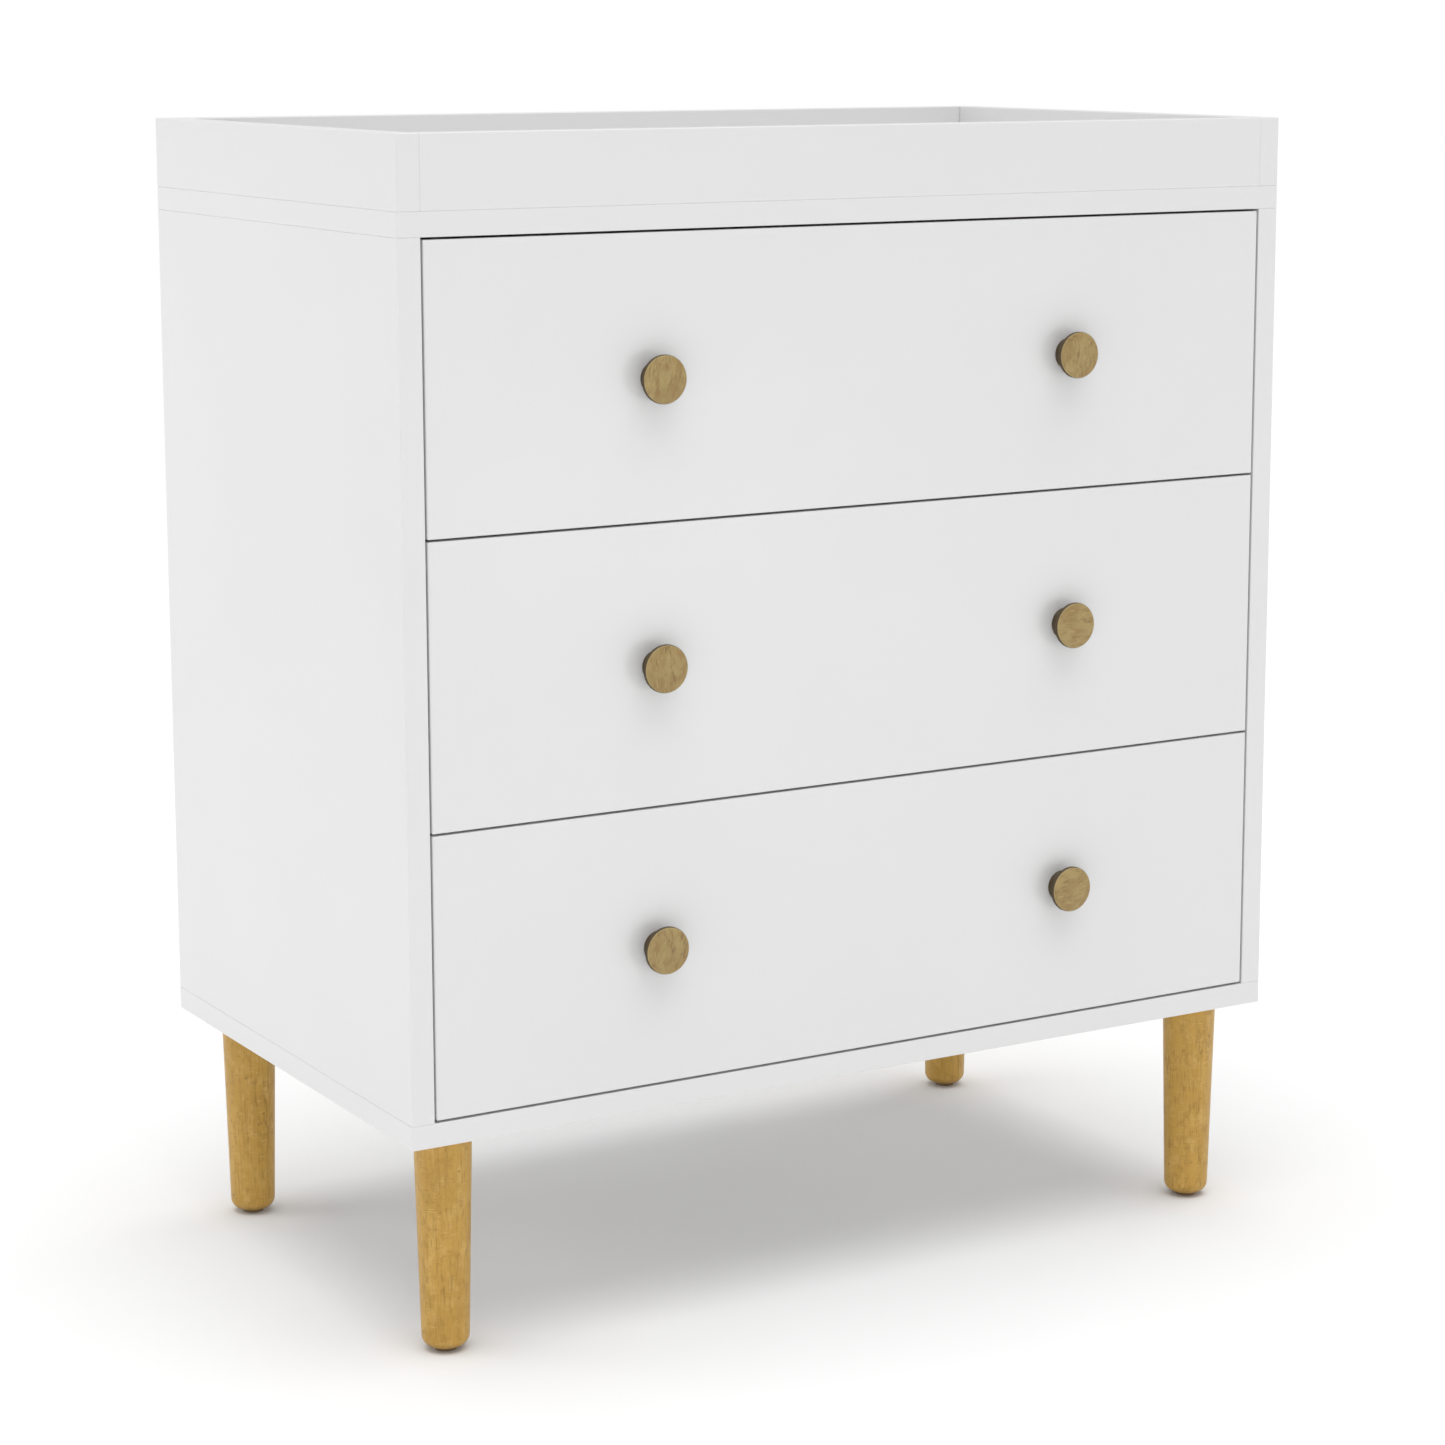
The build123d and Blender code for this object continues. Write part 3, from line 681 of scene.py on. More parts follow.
class Paintbox:
    """Makes each finish once, and hands out its material."""

    def __init__(self) -> None:
        """Starts with no material made."""
        self.made: dict[str, bpy.types.Material] = {}

    def get(self, finish: Finish) -> bpy.types.Material:
        """The material of a finish.

        Args:
            finish: the finish.

        Returns:
            Its material, made on the first call.
        """
        key = repr(finish)
        if key not in self.made:
            self.made[key] = finish.material()
        return self.made[key]

    def dress(self, nodes: Iterable[str]) -> None:
        """Gives CAD nodes the finish of their slot in the record.

        Args:
            nodes: the nodes' names.
        """
        slots = {part["node"]: part["material_slot"] for part in frame["record"]["subparts"]}
        for node in nodes:
            mesh = frame["nodes"][node].data
            mesh.materials.clear()
            mesh.materials.append(self.get(self.finish_of(node, slots[node])))
            log.info("dressed %s as %s", node, slots[node])

    @staticmethod
    def finish_of(node: str, slot: str) -> Finish:
        """The finish of a node: its slot's, with each knob's grain at an angle of its own.

        Args:
            node: the node's name.
            slot: its material slot.

        Returns:
            The finish.
        """
        if slot != "knob_wood":
            return FINISHES[slot]
        place = node.replace("drawer_knob_", "")
        turn = math.radians(KNOB_TURNS[place])
        return replace(KNOB_WOOD, name=f"{KNOB_WOOD.name}_{place}", turn=turn)


# ---------------------------------------------------------------- reading the frame


@dataclass
class Solid:
    """One closed solid of a CAD node, as its points."""

    points: np.ndarray

    @property
    def low(self) -> Vector:
        """Its lowest corner."""
        return Vector(self.points.min(0))

    @property
    def high(self) -> Vector:
        """Its highest corner."""
        return Vector(self.points.max(0))

    @property
    def middle(self) -> Vector:
        """The middle of its box."""
        return (self.low + self.high) / 2


def solids_of(node: str) -> list[Solid]:
    """Splits a CAD node into its solids.

    Args:
        node: the node's name.

    Returns:
        One entry for each closed solid, in the order of the mesh, so that it is the same on every run.
    """
    mesh = bmesh.new()
    mesh.from_mesh(frame["nodes"][node].data)
    bmesh.ops.remove_doubles(mesh, verts=mesh.verts, dist=MERGE_DISTANCE)
    left = set(mesh.verts)
    found = []
    for first in mesh.verts:
        if first not in left:
            continue
        left.remove(first)
        island, queue = [first], [first]
        while queue:
            for edge in queue.pop().link_edges:
                for vert in edge.verts:
                    if vert in left:
                        left.remove(vert)
                        island.append(vert)
                        queue.append(vert)
        found.append(Solid(np.array([vert.co for vert in island])))
    mesh.free()
    return found


# ---------------------------------------------------------------- geometry nodes


class NodeRecipe:
    """A Geometry Nodes tree with named inputs, which is run once on a mesh and baked."""

    def __init__(self, name: str, inputs: dict[str, str]) -> None:
        """Makes the tree with its interface.

        Args:
            name: the tree's name.
            inputs: for each named input, its socket type.
        """
        self.tree = bpy.data.node_groups.new(name, "GeometryNodeTree")
        self.identifiers: dict[str, str] = {}
        for label, kind in ({"Geometry": "NodeSocketGeometry"} | inputs).items():
            socket = self.tree.interface.new_socket(name=label, in_out="INPUT", socket_type=kind)
            self.identifiers[label] = socket.identifier
        self.tree.interface.new_socket(name="Geometry", in_out="OUTPUT", socket_type="NodeSocketGeometry")
        self.entry = add(self.tree, "NodeGroupInput")

    def value(self, label: str) -> bpy.types.NodeSocket:
        """The named input, to link from."""
        return self.entry.outputs[label]

    def close(self, result: bpy.types.NodeSocket) -> None:
        """Links the result to the tree's output."""
        add(self.tree, "NodeGroupOutput", {0: result})

    def bake(self, name: str, base: bpy.types.Mesh, values: dict[str, Any]) -> bpy.types.Object:
        """Runs the tree on a mesh and keeps the result as a plain mesh.

        Args:
            name: the finished piece's name.
            base: the mesh that the tree starts from.
            values: the named inputs' values.

        Returns:
            The finished piece, with no modifier on it.
        """
        piece = new_piece(name, base)
        modifier = piece.modifiers.new(self.tree.name, "NODES")
        modifier.node_group = self.tree
        for label, value in values.items():
            modifier[self.identifiers[label]] = value
        bpy.context.view_layer.update()
        graph = bpy.context.evaluated_depsgraph_get()
        mesh = bpy.data.meshes.new_from_object(piece.evaluated_get(graph))
        piece.modifiers.remove(modifier)
        piece.data = mesh
        mesh.name = name
        return piece


class HeadShape(Enum):
    """The screws' heads."""

    PAN = "pan"
    FLAT = "countersunk"
    TRUSS = "truss"


@dataclass
class ScrewPlace:
    """Where one CAD screw is: the point under its head on its axis, and the way that its shank goes."""

    seat: Vector
    axis: Vector
    length: float
    head_radius: float
    head_height: float
    shank_radius: float

    @classmethod
    def from_solid(cls, solid: Solid, shape: HeadShape) -> "ScrewPlace":
        """Reads a screw's place and sizes from its solid.

        Args:
            solid: the screw's solid.
            shape: its head's shape.

        Returns:
            Its place.
        """
        size = solid.high - solid.low
        way = max(range(3), key=lambda i: size[i])
        centre = solid.middle
        across = np.delete(solid.points, way, axis=1) - np.delete(np.array(centre), way)
        radii = np.linalg.norm(across, axis=1)
        heights = solid.points[:, way]
        ends = (float(solid.low[way]), float(solid.high[way]))
        at_end = 0.01 * MM
        near_end = 0.3 * size[way]
        almost_all = 0.98
        spans = [radii[np.abs(heights - end) < at_end].max() for end in ends]
        reaches = [radii[np.abs(heights - end) < near_end].max() for end in ends]
        head_end = 0 if reaches[0] > reaches[1] else 1
        axis = Vector((0, 0, 0))
        axis[way] = 1.0 if head_end == 0 else -1.0
        seat = centre.copy()
        head_radius = float(radii.max())
        shank_radius = float(spans[1 - head_end])
        wide = heights[radii > head_radius * almost_all]
        head_height = 0.0 if shape is HeadShape.FLAT else float(np.abs(wide - ends[head_end]).max())
        seat[way] = ends[head_end] + axis[way] * head_height
        return cls(seat, axis, size[way] - head_height, head_radius, head_height, shank_radius)


@dataclass
class ScrewRack:
    """Makes screws: turned heads with a cross recess, and threaded shanks with a point."""

    paints: Paintbox
    head_facets: int = 28
    recess_width_mm: float = 1.0
    recess_share: float = 0.62
    recess_depth_mm: float = 1.5
    recess_taper: float = 0.55
    core_share: float = 0.76
    ridge_share: float = 0.2
    point_lengths: float = 2.2
    crown_steps: int = 6
    shank_facets: int = 16
    turn_steps: int = 14
    recipe: NodeRecipe = field(init=False)

    def __post_init__(self) -> None:
        """Builds the tree that repeats a screw at each point."""
        self.recipe = self.build_recipe()

    def build_recipe(self) -> NodeRecipe:
        """The tree: a threaded shank under a given head, set on each point along its axis attribute.

        Returns:
            The recipe.
        """
        recipe = NodeRecipe(
            "screws_on_points",
            {
                "Head": "NodeSocketObject",
                "Shank Radius": "NodeSocketFloat",
                "Shank Length": "NodeSocketFloat",
                "Thread Pitch": "NodeSocketFloat",
                "Point Length": "NodeSocketFloat",
                "Seed": "NodeSocketInt",
                "Material": "NodeSocketMaterial",
            },
        )
        tree, value = recipe.tree, recipe.value
        core, ridge = (
            add(tree, "ShaderNodeMath", {0: value("Shank Radius"), 1: share}, operation="MULTIPLY").outputs[0]
            for share in (self.core_share, self.ridge_share)
        )
        body = add(
            tree, "ShaderNodeMath", {0: value("Shank Length"), 1: value("Point Length")}, operation="SUBTRACT"
        ).outputs[0]
        half = add(tree, "ShaderNodeMath", {0: body, 1: 0.5}, operation="MULTIPLY").outputs[0]
        shank = add(
            tree, "GeometryNodeMeshCylinder", {"Vertices": self.shank_facets, "Radius": core, "Depth": body}
        ).outputs["Mesh"]
        half_way = add(tree, "ShaderNodeCombineXYZ", {"Z": half}).outputs[0]
        shank = add(tree, "GeometryNodeTransform", {"Geometry": shank, "Translation": half_way}).outputs[0]
        tip = add(
            tree,
            "GeometryNodeMeshCone",
            {
                "Vertices": self.shank_facets,
                "Radius Top": 0.1 * MM,
                "Radius Bottom": core,
                "Depth": value("Point Length"),
            },
        ).outputs["Mesh"]
        tip_place = add(tree, "ShaderNodeCombineXYZ", {"Z": body}).outputs[0]
        tip = add(tree, "GeometryNodeTransform", {"Geometry": tip, "Translation": tip_place}).outputs[0]
        turns = add(
            tree, "ShaderNodeMath", {0: body, 1: value("Thread Pitch")}, operation="DIVIDE"
        ).outputs[0]
        helix = add(
            tree,
            "GeometryNodeCurveSpiral",
            {
                "Resolution": self.turn_steps,
                "Rotations": turns,
                "Start Radius": core,
                "End Radius": core,
                "Height": body,
            },
        ).outputs[0]
        edge = add(tree, "GeometryNodeCurvePrimitiveCircle", {"Resolution": 3, "Radius": ridge}).outputs[0]
        thread = add(
            tree, "GeometryNodeCurveToMesh", {"Curve": helix, "Profile Curve": edge, "Fill Caps": True}
        ).outputs[0]
        head = add(tree, "GeometryNodeObjectInfo", {"Object": value("Head")}).outputs["Geometry"]
        whole = add(tree, "GeometryNodeJoinGeometry")
        for part in (head, shank, tip, thread):
            tree.links.new(part, whole.inputs[0])
        along = add(
            tree, "GeometryNodeInputNamedAttribute", {"Name": "axis"}, data_type="FLOAT_VECTOR"
        ).outputs["Attribute"]
        aim = add(tree, "FunctionNodeAlignRotationToVector", {"Vector": along}, axis="Z").outputs[0]
        spin = add(tree, "FunctionNodeRandomValue", {3: math.tau, "Seed": value("Seed")}).outputs[1]
        turn = add(
            tree, "FunctionNodeAxisAngleToRotation", {"Axis": (0.0, 0.0, 1.0), "Angle": spin}
        ).outputs[0]
        aim = add(
            tree, "FunctionNodeRotateRotation", {"Rotation": aim, "Rotate By": turn}, rotation_space="LOCAL"
        ).outputs[0]
        placed = add(
            tree,
            "GeometryNodeInstanceOnPoints",
            {"Points": value("Geometry"), "Instance": whole.outputs[0], "Rotation": aim},
        ).outputs[0]
        real = add(tree, "GeometryNodeRealizeInstances", {"Geometry": placed}).outputs[0]
        dressed = add(tree, "GeometryNodeSetMaterial", {"Geometry": real, "Material": value("Material")})
        recipe.close(dressed.outputs[0])
        return recipe

    def head_outline(self, shape: HeadShape, place: ScrewPlace) -> list[tuple[float, float]]:
        """A head's outline, from its top on the axis round to its seat on the axis.

        Args:
            shape: the head's shape.
            place: a screw of that size.

        Returns:
            Points as distance from the axis, and height along the shank's way.
        """
        radius, height, shank = place.head_radius, place.head_height, place.shank_radius
        if shape is HeadShape.FLAT:
            edge, cone = 0.1 * MM, radius - shank
            return [(0, 0), (radius, 0), (radius, edge), (shank, cone), (0, cone)]
        flat = 0.35 if shape is HeadShape.PAN else 0.2
        rim_height = 0.45
        seat_radius = 0.985 * radius
        angles = [math.pi / 2 * i / self.crown_steps for i in range(self.crown_steps + 1)]
        crown = [
            (
                radius * (flat + (1 - flat) * math.sin(angle)),
                -height * (rim_height + (1 - rim_height) * math.cos(angle)),
            )
            for angle in angles
        ]
        return [(0, -height), *crown, (seat_radius, 0), (0, 0)]

    def head(self, shape: HeadShape, place: ScrewPlace) -> bpy.types.Object:
        """Turns a head and presses a cross recess into it.

        Args:
            shape: the head's shape.
            place: a screw of that size.

        Returns:
            The head, as a scratch object.
        """
        turned = bmesh.new()
        verts = [turned.verts.new((r, 0, z)) for r, z in self.head_outline(shape, place)]
        for one, other in zip(verts, verts[1:]):
            turned.edges.new((one, other))
        bmesh.ops.spin(
            turned,
            geom=turned.verts[:] + turned.edges[:],
            cent=(0, 0, 0),
            axis=(0, 0, 1),
            angle=math.tau,
            steps=self.head_facets,
        )
        bmesh.ops.remove_doubles(turned, verts=turned.verts, dist=MERGE_DISTANCE)
        bmesh.ops.recalc_face_normals(turned, faces=turned.faces)
        mesh = bpy.data.meshes.new(f"{shape.value}_head")
        turned.to_mesh(mesh)
        turned.free()
        head = new_piece(f"{shape.value}_head", mesh)
        cutter = new_piece("cross_recess", self.recess(place))
        cut = head.modifiers.new("recess", "BOOLEAN")
        cut.object = cutter
        cut.solver = "EXACT"
        bpy.context.view_layer.update()
        graph = bpy.context.evaluated_depsgraph_get()
        head.data = bpy.data.meshes.new_from_object(head.evaluated_get(graph))
        head.modifiers.clear()
        soften(head.data)
        bpy.data.objects.remove(cutter)
        return head

    def recess(self, place: ScrewPlace) -> bpy.types.Mesh:
        """The cross-shaped punch of a driver recess, tapered towards its bottom.

        Args:
            place: a screw of that size.

        Returns:
            The punch as a mesh.
        """
        punch = bmesh.new()
        over = 1 * MM
        top, bottom = -place.head_height - over, -place.head_height + self.recess_depth_mm * MM
        width, reach = self.recess_width_mm * MM / 2, place.head_radius * self.recess_share
        low_reach = width + (reach - width) * self.recess_taper
        upper = [punch.verts.new((x, y, top)) for x, y in self.cross(width, reach)]
        lower = [punch.verts.new((x, y, bottom)) for x, y in self.cross(width, low_reach)]
        punch.faces.new(upper)
        punch.faces.new(lower)
        for i in range(len(upper)):
            j = (i + 1) % len(upper)
            punch.faces.new((upper[i], upper[j], lower[j], lower[i]))
        bmesh.ops.recalc_face_normals(punch, faces=punch.faces)
        mesh = bpy.data.meshes.new("cross_recess")
        punch.to_mesh(mesh)
        punch.free()
        return mesh

    @staticmethod
    def cross(width: float, reach: float) -> list[tuple[float, float]]:
        """The outline of a cross.

        Args:
            width: half the width of its arms.
            reach: how far its arms go out.

        Returns:
            Its twelve corners, in order.
        """
        corners = [(reach, width), (width, width), (width, reach)]
        found = []
        for x_side, y_side, quarter in (
            (1, 1, corners),
            (-1, 1, corners[::-1]),
            (-1, -1, corners),
            (1, -1, corners[::-1]),
        ):
            found += [(x_side * x, y_side * y) for x, y in quarter]
        return found

    def make(
        self, name: str, places: list[ScrewPlace], shape: HeadShape, pitch_mm: float, seed: int
    ) -> bpy.types.Object:
        """Makes one piece of several equal screws.

        Args:
            name: the piece's name.
            places: where the screws are.
            shape: their heads' shape.
            pitch_mm: their thread's pitch.
            seed: what the turn of each head is drawn from.

        Returns:
            The piece.
        """
        head = self.head(shape, places[0])
        points = bpy.data.meshes.new(name)
        points.from_pydata([place.seat for place in places], [], [])
        axes = points.attributes.new("axis", "FLOAT_VECTOR", "POINT")
        axes.data.foreach_set("vector", [c for place in places for c in place.axis])
        piece = self.recipe.bake(
            name,
            points,
            {
                "Head": head,
                "Shank Radius": places[0].shank_radius,
                "Shank Length": places[0].length,
                "Thread Pitch": pitch_mm * MM,
                "Point Length": self.point_lengths * places[0].shank_radius,
                "Seed": seed,
                "Material": self.paints.get(FINISHES["zinc_plated_steel"]),
            },
        )
        bpy.data.objects.remove(head)
        soften(piece.data)
        log.info("made %s: %d %s head screws", name, len(places), shape.value)
        return piece


# ---------------------------------------------------------------- slides


@dataclass
class BallRun:
    """One straight row of balls, as its two ends."""

    start: Vector
    end: Vector


@dataclass
class SlideBalls:
    """A drawer's ball races: rows of balls in strips of punched steel, two for each pair of rails.

    The races ride on the middle rails. The outer race keeps to the rear of a middle rail and the inner one
    to its front, so both stay between their rails when the drawer is shut and when it is fully out.
    """

    level: str
    paints: Paintbox
    recipe: NodeRecipe
    ball_radius_mm: float = 1.75
    ball_spacing_mm: float = 9.5
    cage_thickness_mm: float = 0.5
    cage_width_mm: float = 5.6
    end_margin_mm: float = 6.0

    @staticmethod
    def build_recipe() -> NodeRecipe:
        """The tree: balls spaced along each line, and a flat steel strip through them.

        Returns:
            The recipe.
        """
        recipe = NodeRecipe(
            "balls_along_lines",
            {
                "Ball Radius": "NodeSocketFloat",
                "Ball Spacing": "NodeSocketFloat",
                "Cage Thickness": "NodeSocketFloat",
                "Cage Width": "NodeSocketFloat",
                "Ball Material": "NodeSocketMaterial",
                "Cage Material": "NodeSocketMaterial",
            },
        )
        tree, value = recipe.tree, recipe.value
        lines = add(tree, "GeometryNodeMeshToCurve", {"Mesh": value("Geometry")}).outputs[0]
        spots = add(
            tree,
            "GeometryNodeCurveToPoints",
            {"Curve": lines, "Length": value("Ball Spacing")},
            mode="LENGTH",
        ).outputs["Points"]
        ball = add(
            tree, "GeometryNodeMeshIcoSphere", {"Radius": value("Ball Radius"), "Subdivisions": 2}
        ).outputs["Mesh"]
        balls = add(tree, "GeometryNodeInstanceOnPoints", {"Points": spots, "Instance": ball}).outputs[0]
        balls = add(tree, "GeometryNodeRealizeInstances", {"Geometry": balls}).outputs[0]
        balls = add(tree, "GeometryNodeSetShadeSmooth", {"Geometry": balls}).outputs[0]
        balls = add(tree, "GeometryNodeSetMaterial", {"Geometry": balls, "Material": value("Ball Material")})
        strip = add(
            tree,
            "GeometryNodeCurvePrimitiveQuadrilateral",
            {"Width": value("Cage Thickness"), "Height": value("Cage Width")},
        ).outputs[0]
        cage = add(
            tree, "GeometryNodeCurveToMesh", {"Curve": lines, "Profile Curve": strip, "Fill Caps": True}
        ).outputs[0]
        cage = add(tree, "GeometryNodeSetMaterial", {"Geometry": cage, "Material": value("Cage Material")})
        both = add(tree, "GeometryNodeJoinGeometry")
        tree.links.new(balls.outputs[0], both.inputs[0])
        tree.links.new(cage.outputs[0], both.inputs[0])
        recipe.close(both.outputs[0])
        return recipe

    def runs(self) -> list[BallRun]:
        """Works out the rows of balls from the three rails' own boxes.

        Returns:
            Eight rows: above and below, outer and inner, on each side.
        """
        found = []
        joint = next(j for j in frame["joints"] if j["name"] == f"{self.level}_middle_rails_slide")
        travel = joint["range_m"][1]
        margin = self.end_margin_mm * MM
        drawers = solids_of(f"{self.level}_drawer_rails")
        cases = solids_of("case_slide_rails")
        for middle in solids_of(f"{self.level}_drawer_middle_rails"):
            low, high = middle.low, middle.high
            for rail, near, far in (
                (self.partner(middle, cases), low.y + travel + margin, high.y - margin),
                (self.partner(middle, drawers), low.y + margin, high.y - travel - margin),
            ):
                x = (max(low.x, rail.low.x) + min(high.x, rail.high.x)) / 2
                heights = (high.z - low.z) / 2, (rail.high.z - rail.low.z) / 2
                rise = (sum(heights) - RAIL_STEEL) / 2
                for z in (middle.middle.z - rise, middle.middle.z + rise):
                    found.append(BallRun(Vector((x, near, z)), Vector((x, far, z))))
        return found

    @staticmethod
    def partner(middle: Solid, rails: list[Solid]) -> Solid:
        """The rail, among several, that belongs to a middle rail.

        Args:
            middle: the middle rail.
            rails: the rails to choose from.

        Returns:
            The nearest of them.
        """
        return min(rails, key=lambda rail: (rail.middle - middle.middle).length)

    def make(self) -> bpy.types.Object:
        """Makes all the balls and cages of the drawer's two slides.

        Returns:
            The piece, on the drawer's middle rails.
        """
        name = f"{self.level}_drawer_slide_balls"
        runs = self.runs()
        base = bpy.data.meshes.new(name)
        base.from_pydata(
            [tuple(end) for run in runs for end in (run.start, run.end)],
            [(2 * i, 2 * i + 1) for i in range(len(runs))],
            [],
        )
        piece = self.recipe.bake(
            name,
            base,
            {
                "Ball Radius": self.ball_radius_mm * MM,
                "Ball Spacing": self.ball_spacing_mm * MM,
                "Cage Thickness": self.cage_thickness_mm * MM,
                "Cage Width": self.cage_width_mm * MM,
                "Ball Material": self.paints.get(BALL_STEEL),
                "Cage Material": self.paints.get(FINISHES["slide_steel"]),
            },
        )
        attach(piece, f"{self.level}_middle_rails")
        log.info("made %s: %d rows of balls", name, len(runs))
        return piece


# ---------------------------------------------------------------- sub-assemblies


@dataclass
class ScrewGroup:
    """The screws that one CAD node stands for, which detailed pieces replace.

    Where most of them have pan heads, those as long as flat_length_mm are countersunk instead.
    """

    node: str
    body: str
    head: HeadShape
    pitch_mm: float
    seed: int
    flat_length_mm: float = 30.0

    def make(self, rack: ScrewRack) -> None:
        """Makes the screws of the group, each head shape as its own piece.

        Args:
            rack: what makes screws.
        """
        groups: dict[HeadShape, list[ScrewPlace]] = {}
        for solid in solids_of(self.node):
            longest = max(solid.high - solid.low)
            flat_length = abs(longest - self.flat_length_mm * MM) < MM
            shape = HeadShape.FLAT if flat_length and self.head is HeadShape.PAN else self.head
            groups.setdefault(shape, []).append(ScrewPlace.from_solid(solid, shape))
        for number, (shape, places) in enumerate(groups.items()):
            name = f"{self.node}_{shape.value}"
            piece = rack.make(name, places, shape, self.pitch_mm, self.seed + number)
            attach(piece, self.body)
            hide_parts(self.node)


@dataclass
class Case:
    """The case with its changing tray, legs and fastenings: all that stands still."""

    paints: Paintbox

    def dress(self) -> None:
        """Gives each of its CAD nodes its finish."""
        self.paints.dress(frame["record"]["behaviour"]["bodies"]["case"])

    def screws(self, rack: ScrewRack) -> None:
        """Makes its screws."""
        ScrewGroup("panel_screws", "case", HeadShape.PAN, WOOD_THREAD_MM, seed=11).make(rack)


@dataclass
class Drawer:
    """One drawer with its box, knobs, rails and balls."""

    level: str
    paints: Paintbox

    def dress(self) -> None:
        """Gives each of its CAD nodes its finish."""
        bodies = frame["record"]["behaviour"]["bodies"]
        self.paints.dress(bodies[f"{self.level}_drawer"] + bodies[f"{self.level}_middle_rails"])

    def screws(self, rack: ScrewRack) -> None:
        """Makes the screws of its box and rails, and of its knobs."""
        body = f"{self.level}_drawer"
        seed = 100 * (1 + LEVELS.index(self.level))
        ScrewGroup(f"{body}_screws", body, HeadShape.PAN, WOOD_THREAD_MM, seed).make(rack)
        knob_screws = ScrewGroup(
            f"{body}_knob_screws", body, HeadShape.TRUSS, MACHINE_THREAD_MM, seed + 50
        )
        knob_screws.make(rack)


# ---------------------------------------------------------------- studio


@dataclass(frozen=True)
class PaleFloor:
    """A pale matt floor of painted board, with a trace of roller texture."""

    name: str = "pale_studio_paint"
    colour: str = "#F4F4F4"
    patch_colour: str = "#F2F2F2"
    roughness: float = 0.85
    patch_mm: float = 700.0
    ior: float = 1.45

    def material(self) -> bpy.types.Material:
        """The floor's paint as a material."""
        material, tree = empty_material(self.name)
        place = add(tree, "ShaderNodeTexCoord").outputs["Object"]
        patch = add(
            tree, "ShaderNodeTexNoise", {"Vector": place, "Scale": 1 / (self.patch_mm * MM), "Detail": 2.0}
        ).outputs["Fac"]
        close_surface(
            tree,
            patch,
            (self.colour, self.patch_colour),
            {"Roughness": self.roughness, "IOR": self.ior},
        )
        return material


@dataclass(frozen=True)
class SoftBox:
    """A rectangular soft light, aimed at a point."""

    name: str
    place: tuple[float, float, float]
    aim: tuple[float, float, float]
    size: tuple[float, float]
    power: float
    colour: str = "#FFFFFF"


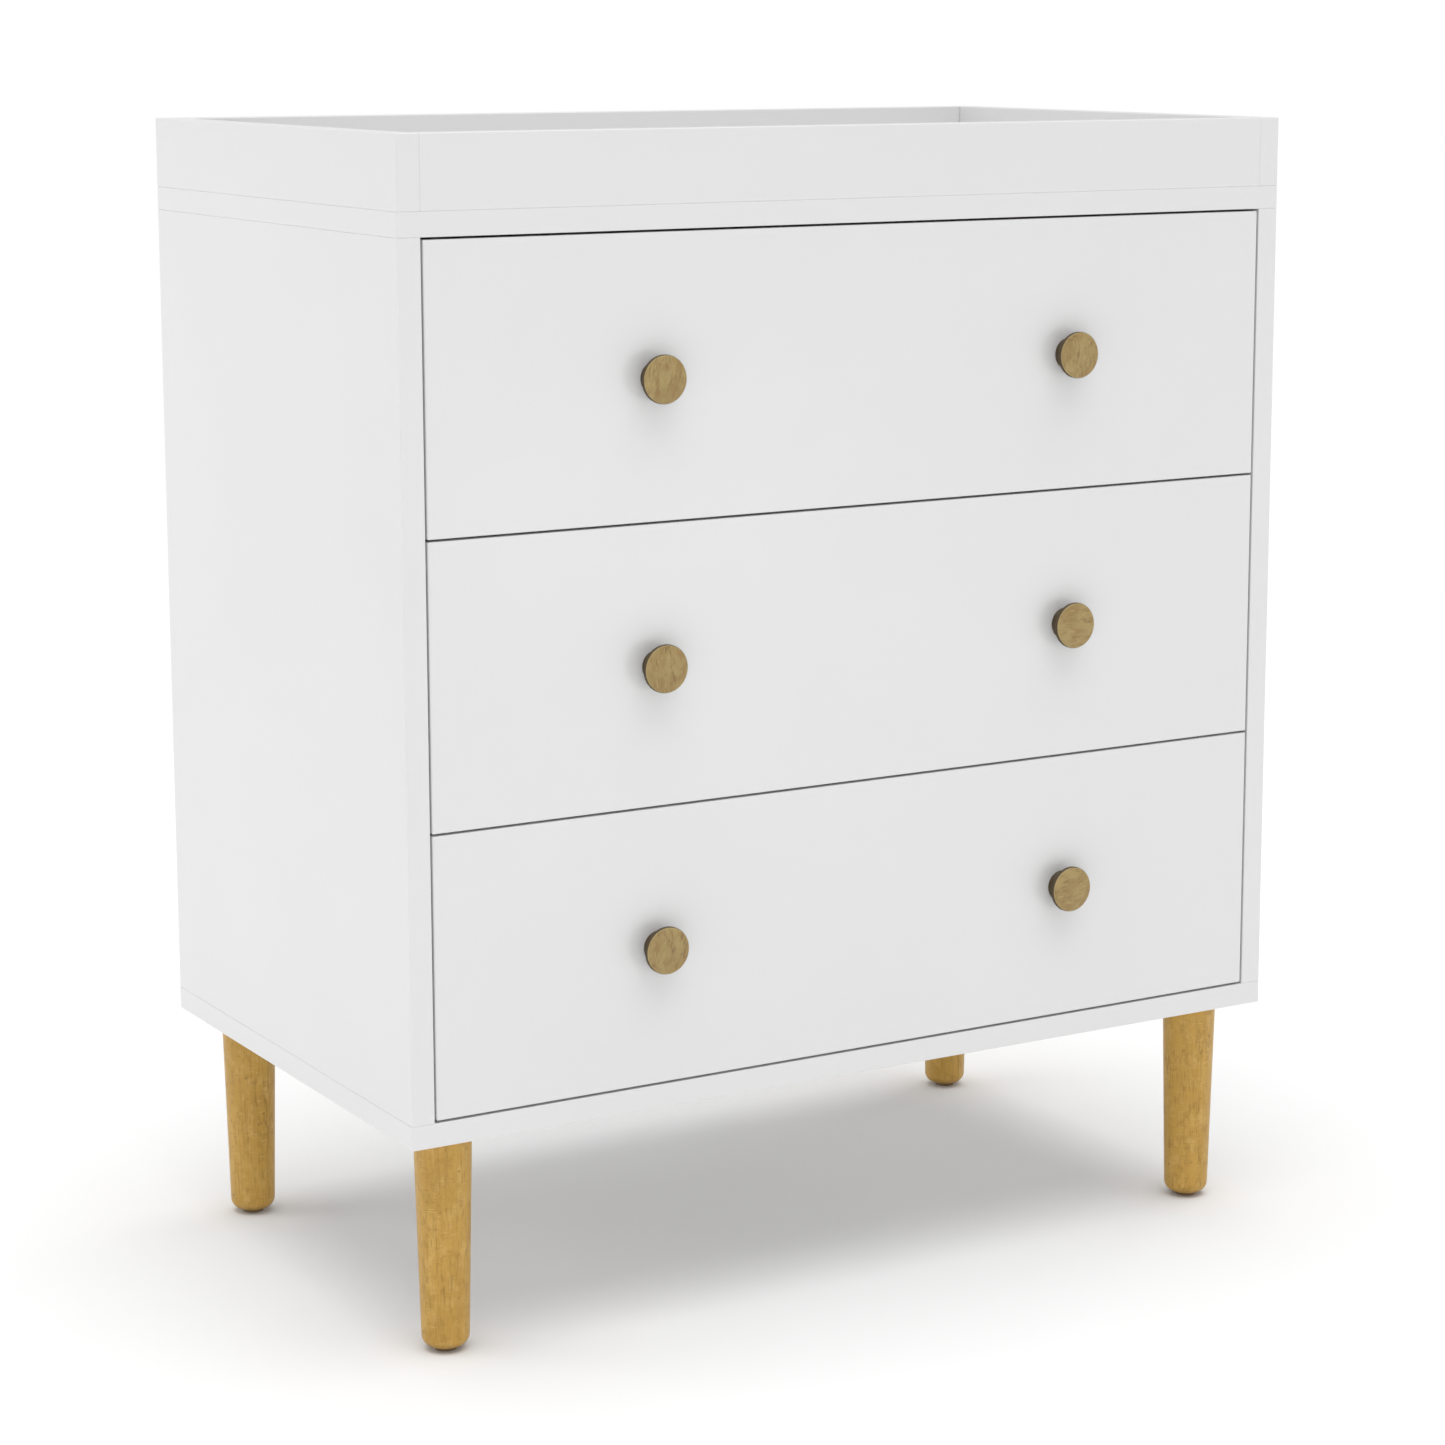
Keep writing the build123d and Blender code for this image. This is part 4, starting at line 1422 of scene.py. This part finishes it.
@dataclass
class Studio:
    """The floor, the lights, the white surround and the camera."""

    floor_size: float = 60.0
    surround_seen: float = 1.0
    surround_light: float = 0.55
    camera_place: tuple[float, float, float] = (-1.6007, -2.7432, 1.0835)
    camera_turn: float = 31.0492
    camera_down: float = 9.5913
    lens: float = 88.914
    shift: tuple[float, float] = (-0.034547, -0.07)
    overhead_strength: float = 1.9
    overhead_spread: float = 60.0
    overhead_tilt: float = 6.0  # towards the table's front
    lights: tuple[SoftBox, ...] = (
        SoftBox("front_right_softbox", (1.4, -3.3, 0.15), (0.0, -0.24, 0.5), (0.6, 0.6), 4.5),
        SoftBox("left_softbox", (-2.4, 1.3, 1.3), (-0.43, 0.1, 0.7), (1.2, 1.2), 8.0),
        SoftBox("right_softbox", (3.0, 1.0, 1.1), (0.43, 0.1, 0.6), (1.2, 1.2), 6.0),
        SoftBox("camera_softbox", (-1.9, -3.1, 1.35), (-0.1, -0.2, 0.6), (1.0, 1.0), 4.0),
    )

    def build(self) -> None:
        """Makes the whole studio."""
        self.build_floor()
        self.build_world()
        self.build_overhead()
        for light in self.lights:
            self.build_light(light)
        self.build_camera()
        scene = bpy.context.scene
        scene.view_settings.view_transform = "Standard"
        scene.view_settings.look = "None"
        log.info("built the studio")

    def build_floor(self) -> None:
        """Makes the floor that the table stands on."""
        plane = bmesh.new()
        bmesh.ops.create_grid(plane, x_segments=8, y_segments=8, size=self.floor_size / 2)
        mesh = bpy.data.meshes.new("studio_floor")
        plane.to_mesh(mesh)
        plane.free()
        mesh.materials.append(PaleFloor().material())
        new_piece("studio_floor", mesh)

    def build_world(self) -> None:
        """Makes the surround: white to look at, and an even, dimmer light on the table."""
        world = bpy.data.worlds.new("white_surround")
        world.use_nodes = True
        world.node_tree.nodes.clear()
        seen = add(world.node_tree, "ShaderNodeLightPath").outputs["Is Camera Ray"]
        level = add(
            world.node_tree,
            "ShaderNodeMapRange",
            {"Value": seen, "To Min": self.surround_light, "To Max": self.surround_seen},
        )
        sky = add(
            world.node_tree,
            "ShaderNodeBackground",
            {"Color": linear("#FFFFFF"), "Strength": level.outputs[0]},
        )
        add(world.node_tree, "ShaderNodeOutputWorld", {"Surface": sky.outputs[0]})
        bpy.context.scene.world = world

    def build_overhead(self) -> None:
        """Makes the even light from a large scrim overhead, which reaches the whole floor."""
        data = bpy.data.lights.new("overhead_scrim", "SUN")
        data.energy = self.overhead_strength
        data.angle = math.radians(self.overhead_spread)
        scrim = bpy.data.objects.new("overhead_scrim", data)
        scrim.rotation_euler = (math.radians(self.overhead_tilt), 0.0, 0.0)
        bpy.context.scene.collection.objects.link(scrim)

    def build_light(self, spec: SoftBox) -> None:
        """Makes one soft light.

        Args:
            spec: the light.
        """
        data = bpy.data.lights.new(spec.name, "AREA")
        data.shape = "RECTANGLE"
        data.size, data.size_y = spec.size
        data.energy = spec.power
        data.color = linear(spec.colour)[:3]
        light = bpy.data.objects.new(spec.name, data)
        light.location = spec.place
        light.rotation_euler = (Vector(spec.aim) - Vector(spec.place)).to_track_quat("-Z", "Y").to_euler()
        bpy.context.scene.collection.objects.link(light)

    def build_camera(self) -> None:
        """Makes the camera: eye height, to the left of the table's front, looking slightly down."""
        data = bpy.data.cameras.new("studio_camera")
        data.sensor_width = 36.0
        data.lens = self.lens
        data.shift_x, data.shift_y = self.shift
        camera = bpy.data.objects.new("studio_camera", data)
        camera.location = self.camera_place
        camera.rotation_euler = (
            math.pi / 2 - math.radians(self.camera_down),
            0.0,
            -math.radians(self.camera_turn),
        )
        bpy.context.scene.collection.objects.link(camera)
        bpy.context.scene.camera = camera


def main() -> None:
    """Builds the studio, dresses the frame, and adds the detailed pieces."""
    logging.basicConfig(level=logging.INFO, format="%(message)s")
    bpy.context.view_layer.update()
    Studio().build()
    paints = Paintbox()
    rack = ScrewRack(paints)
    case = Case(paints)
    case.dress()
    case.screws(rack)
    races = SlideBalls.build_recipe()
    for level in LEVELS:
        drawer = Drawer(level, paints)
        drawer.dress()
        drawer.screws(rack)
        SlideBalls(level, paints, races).make()


if __name__ == "__main__":
    main()
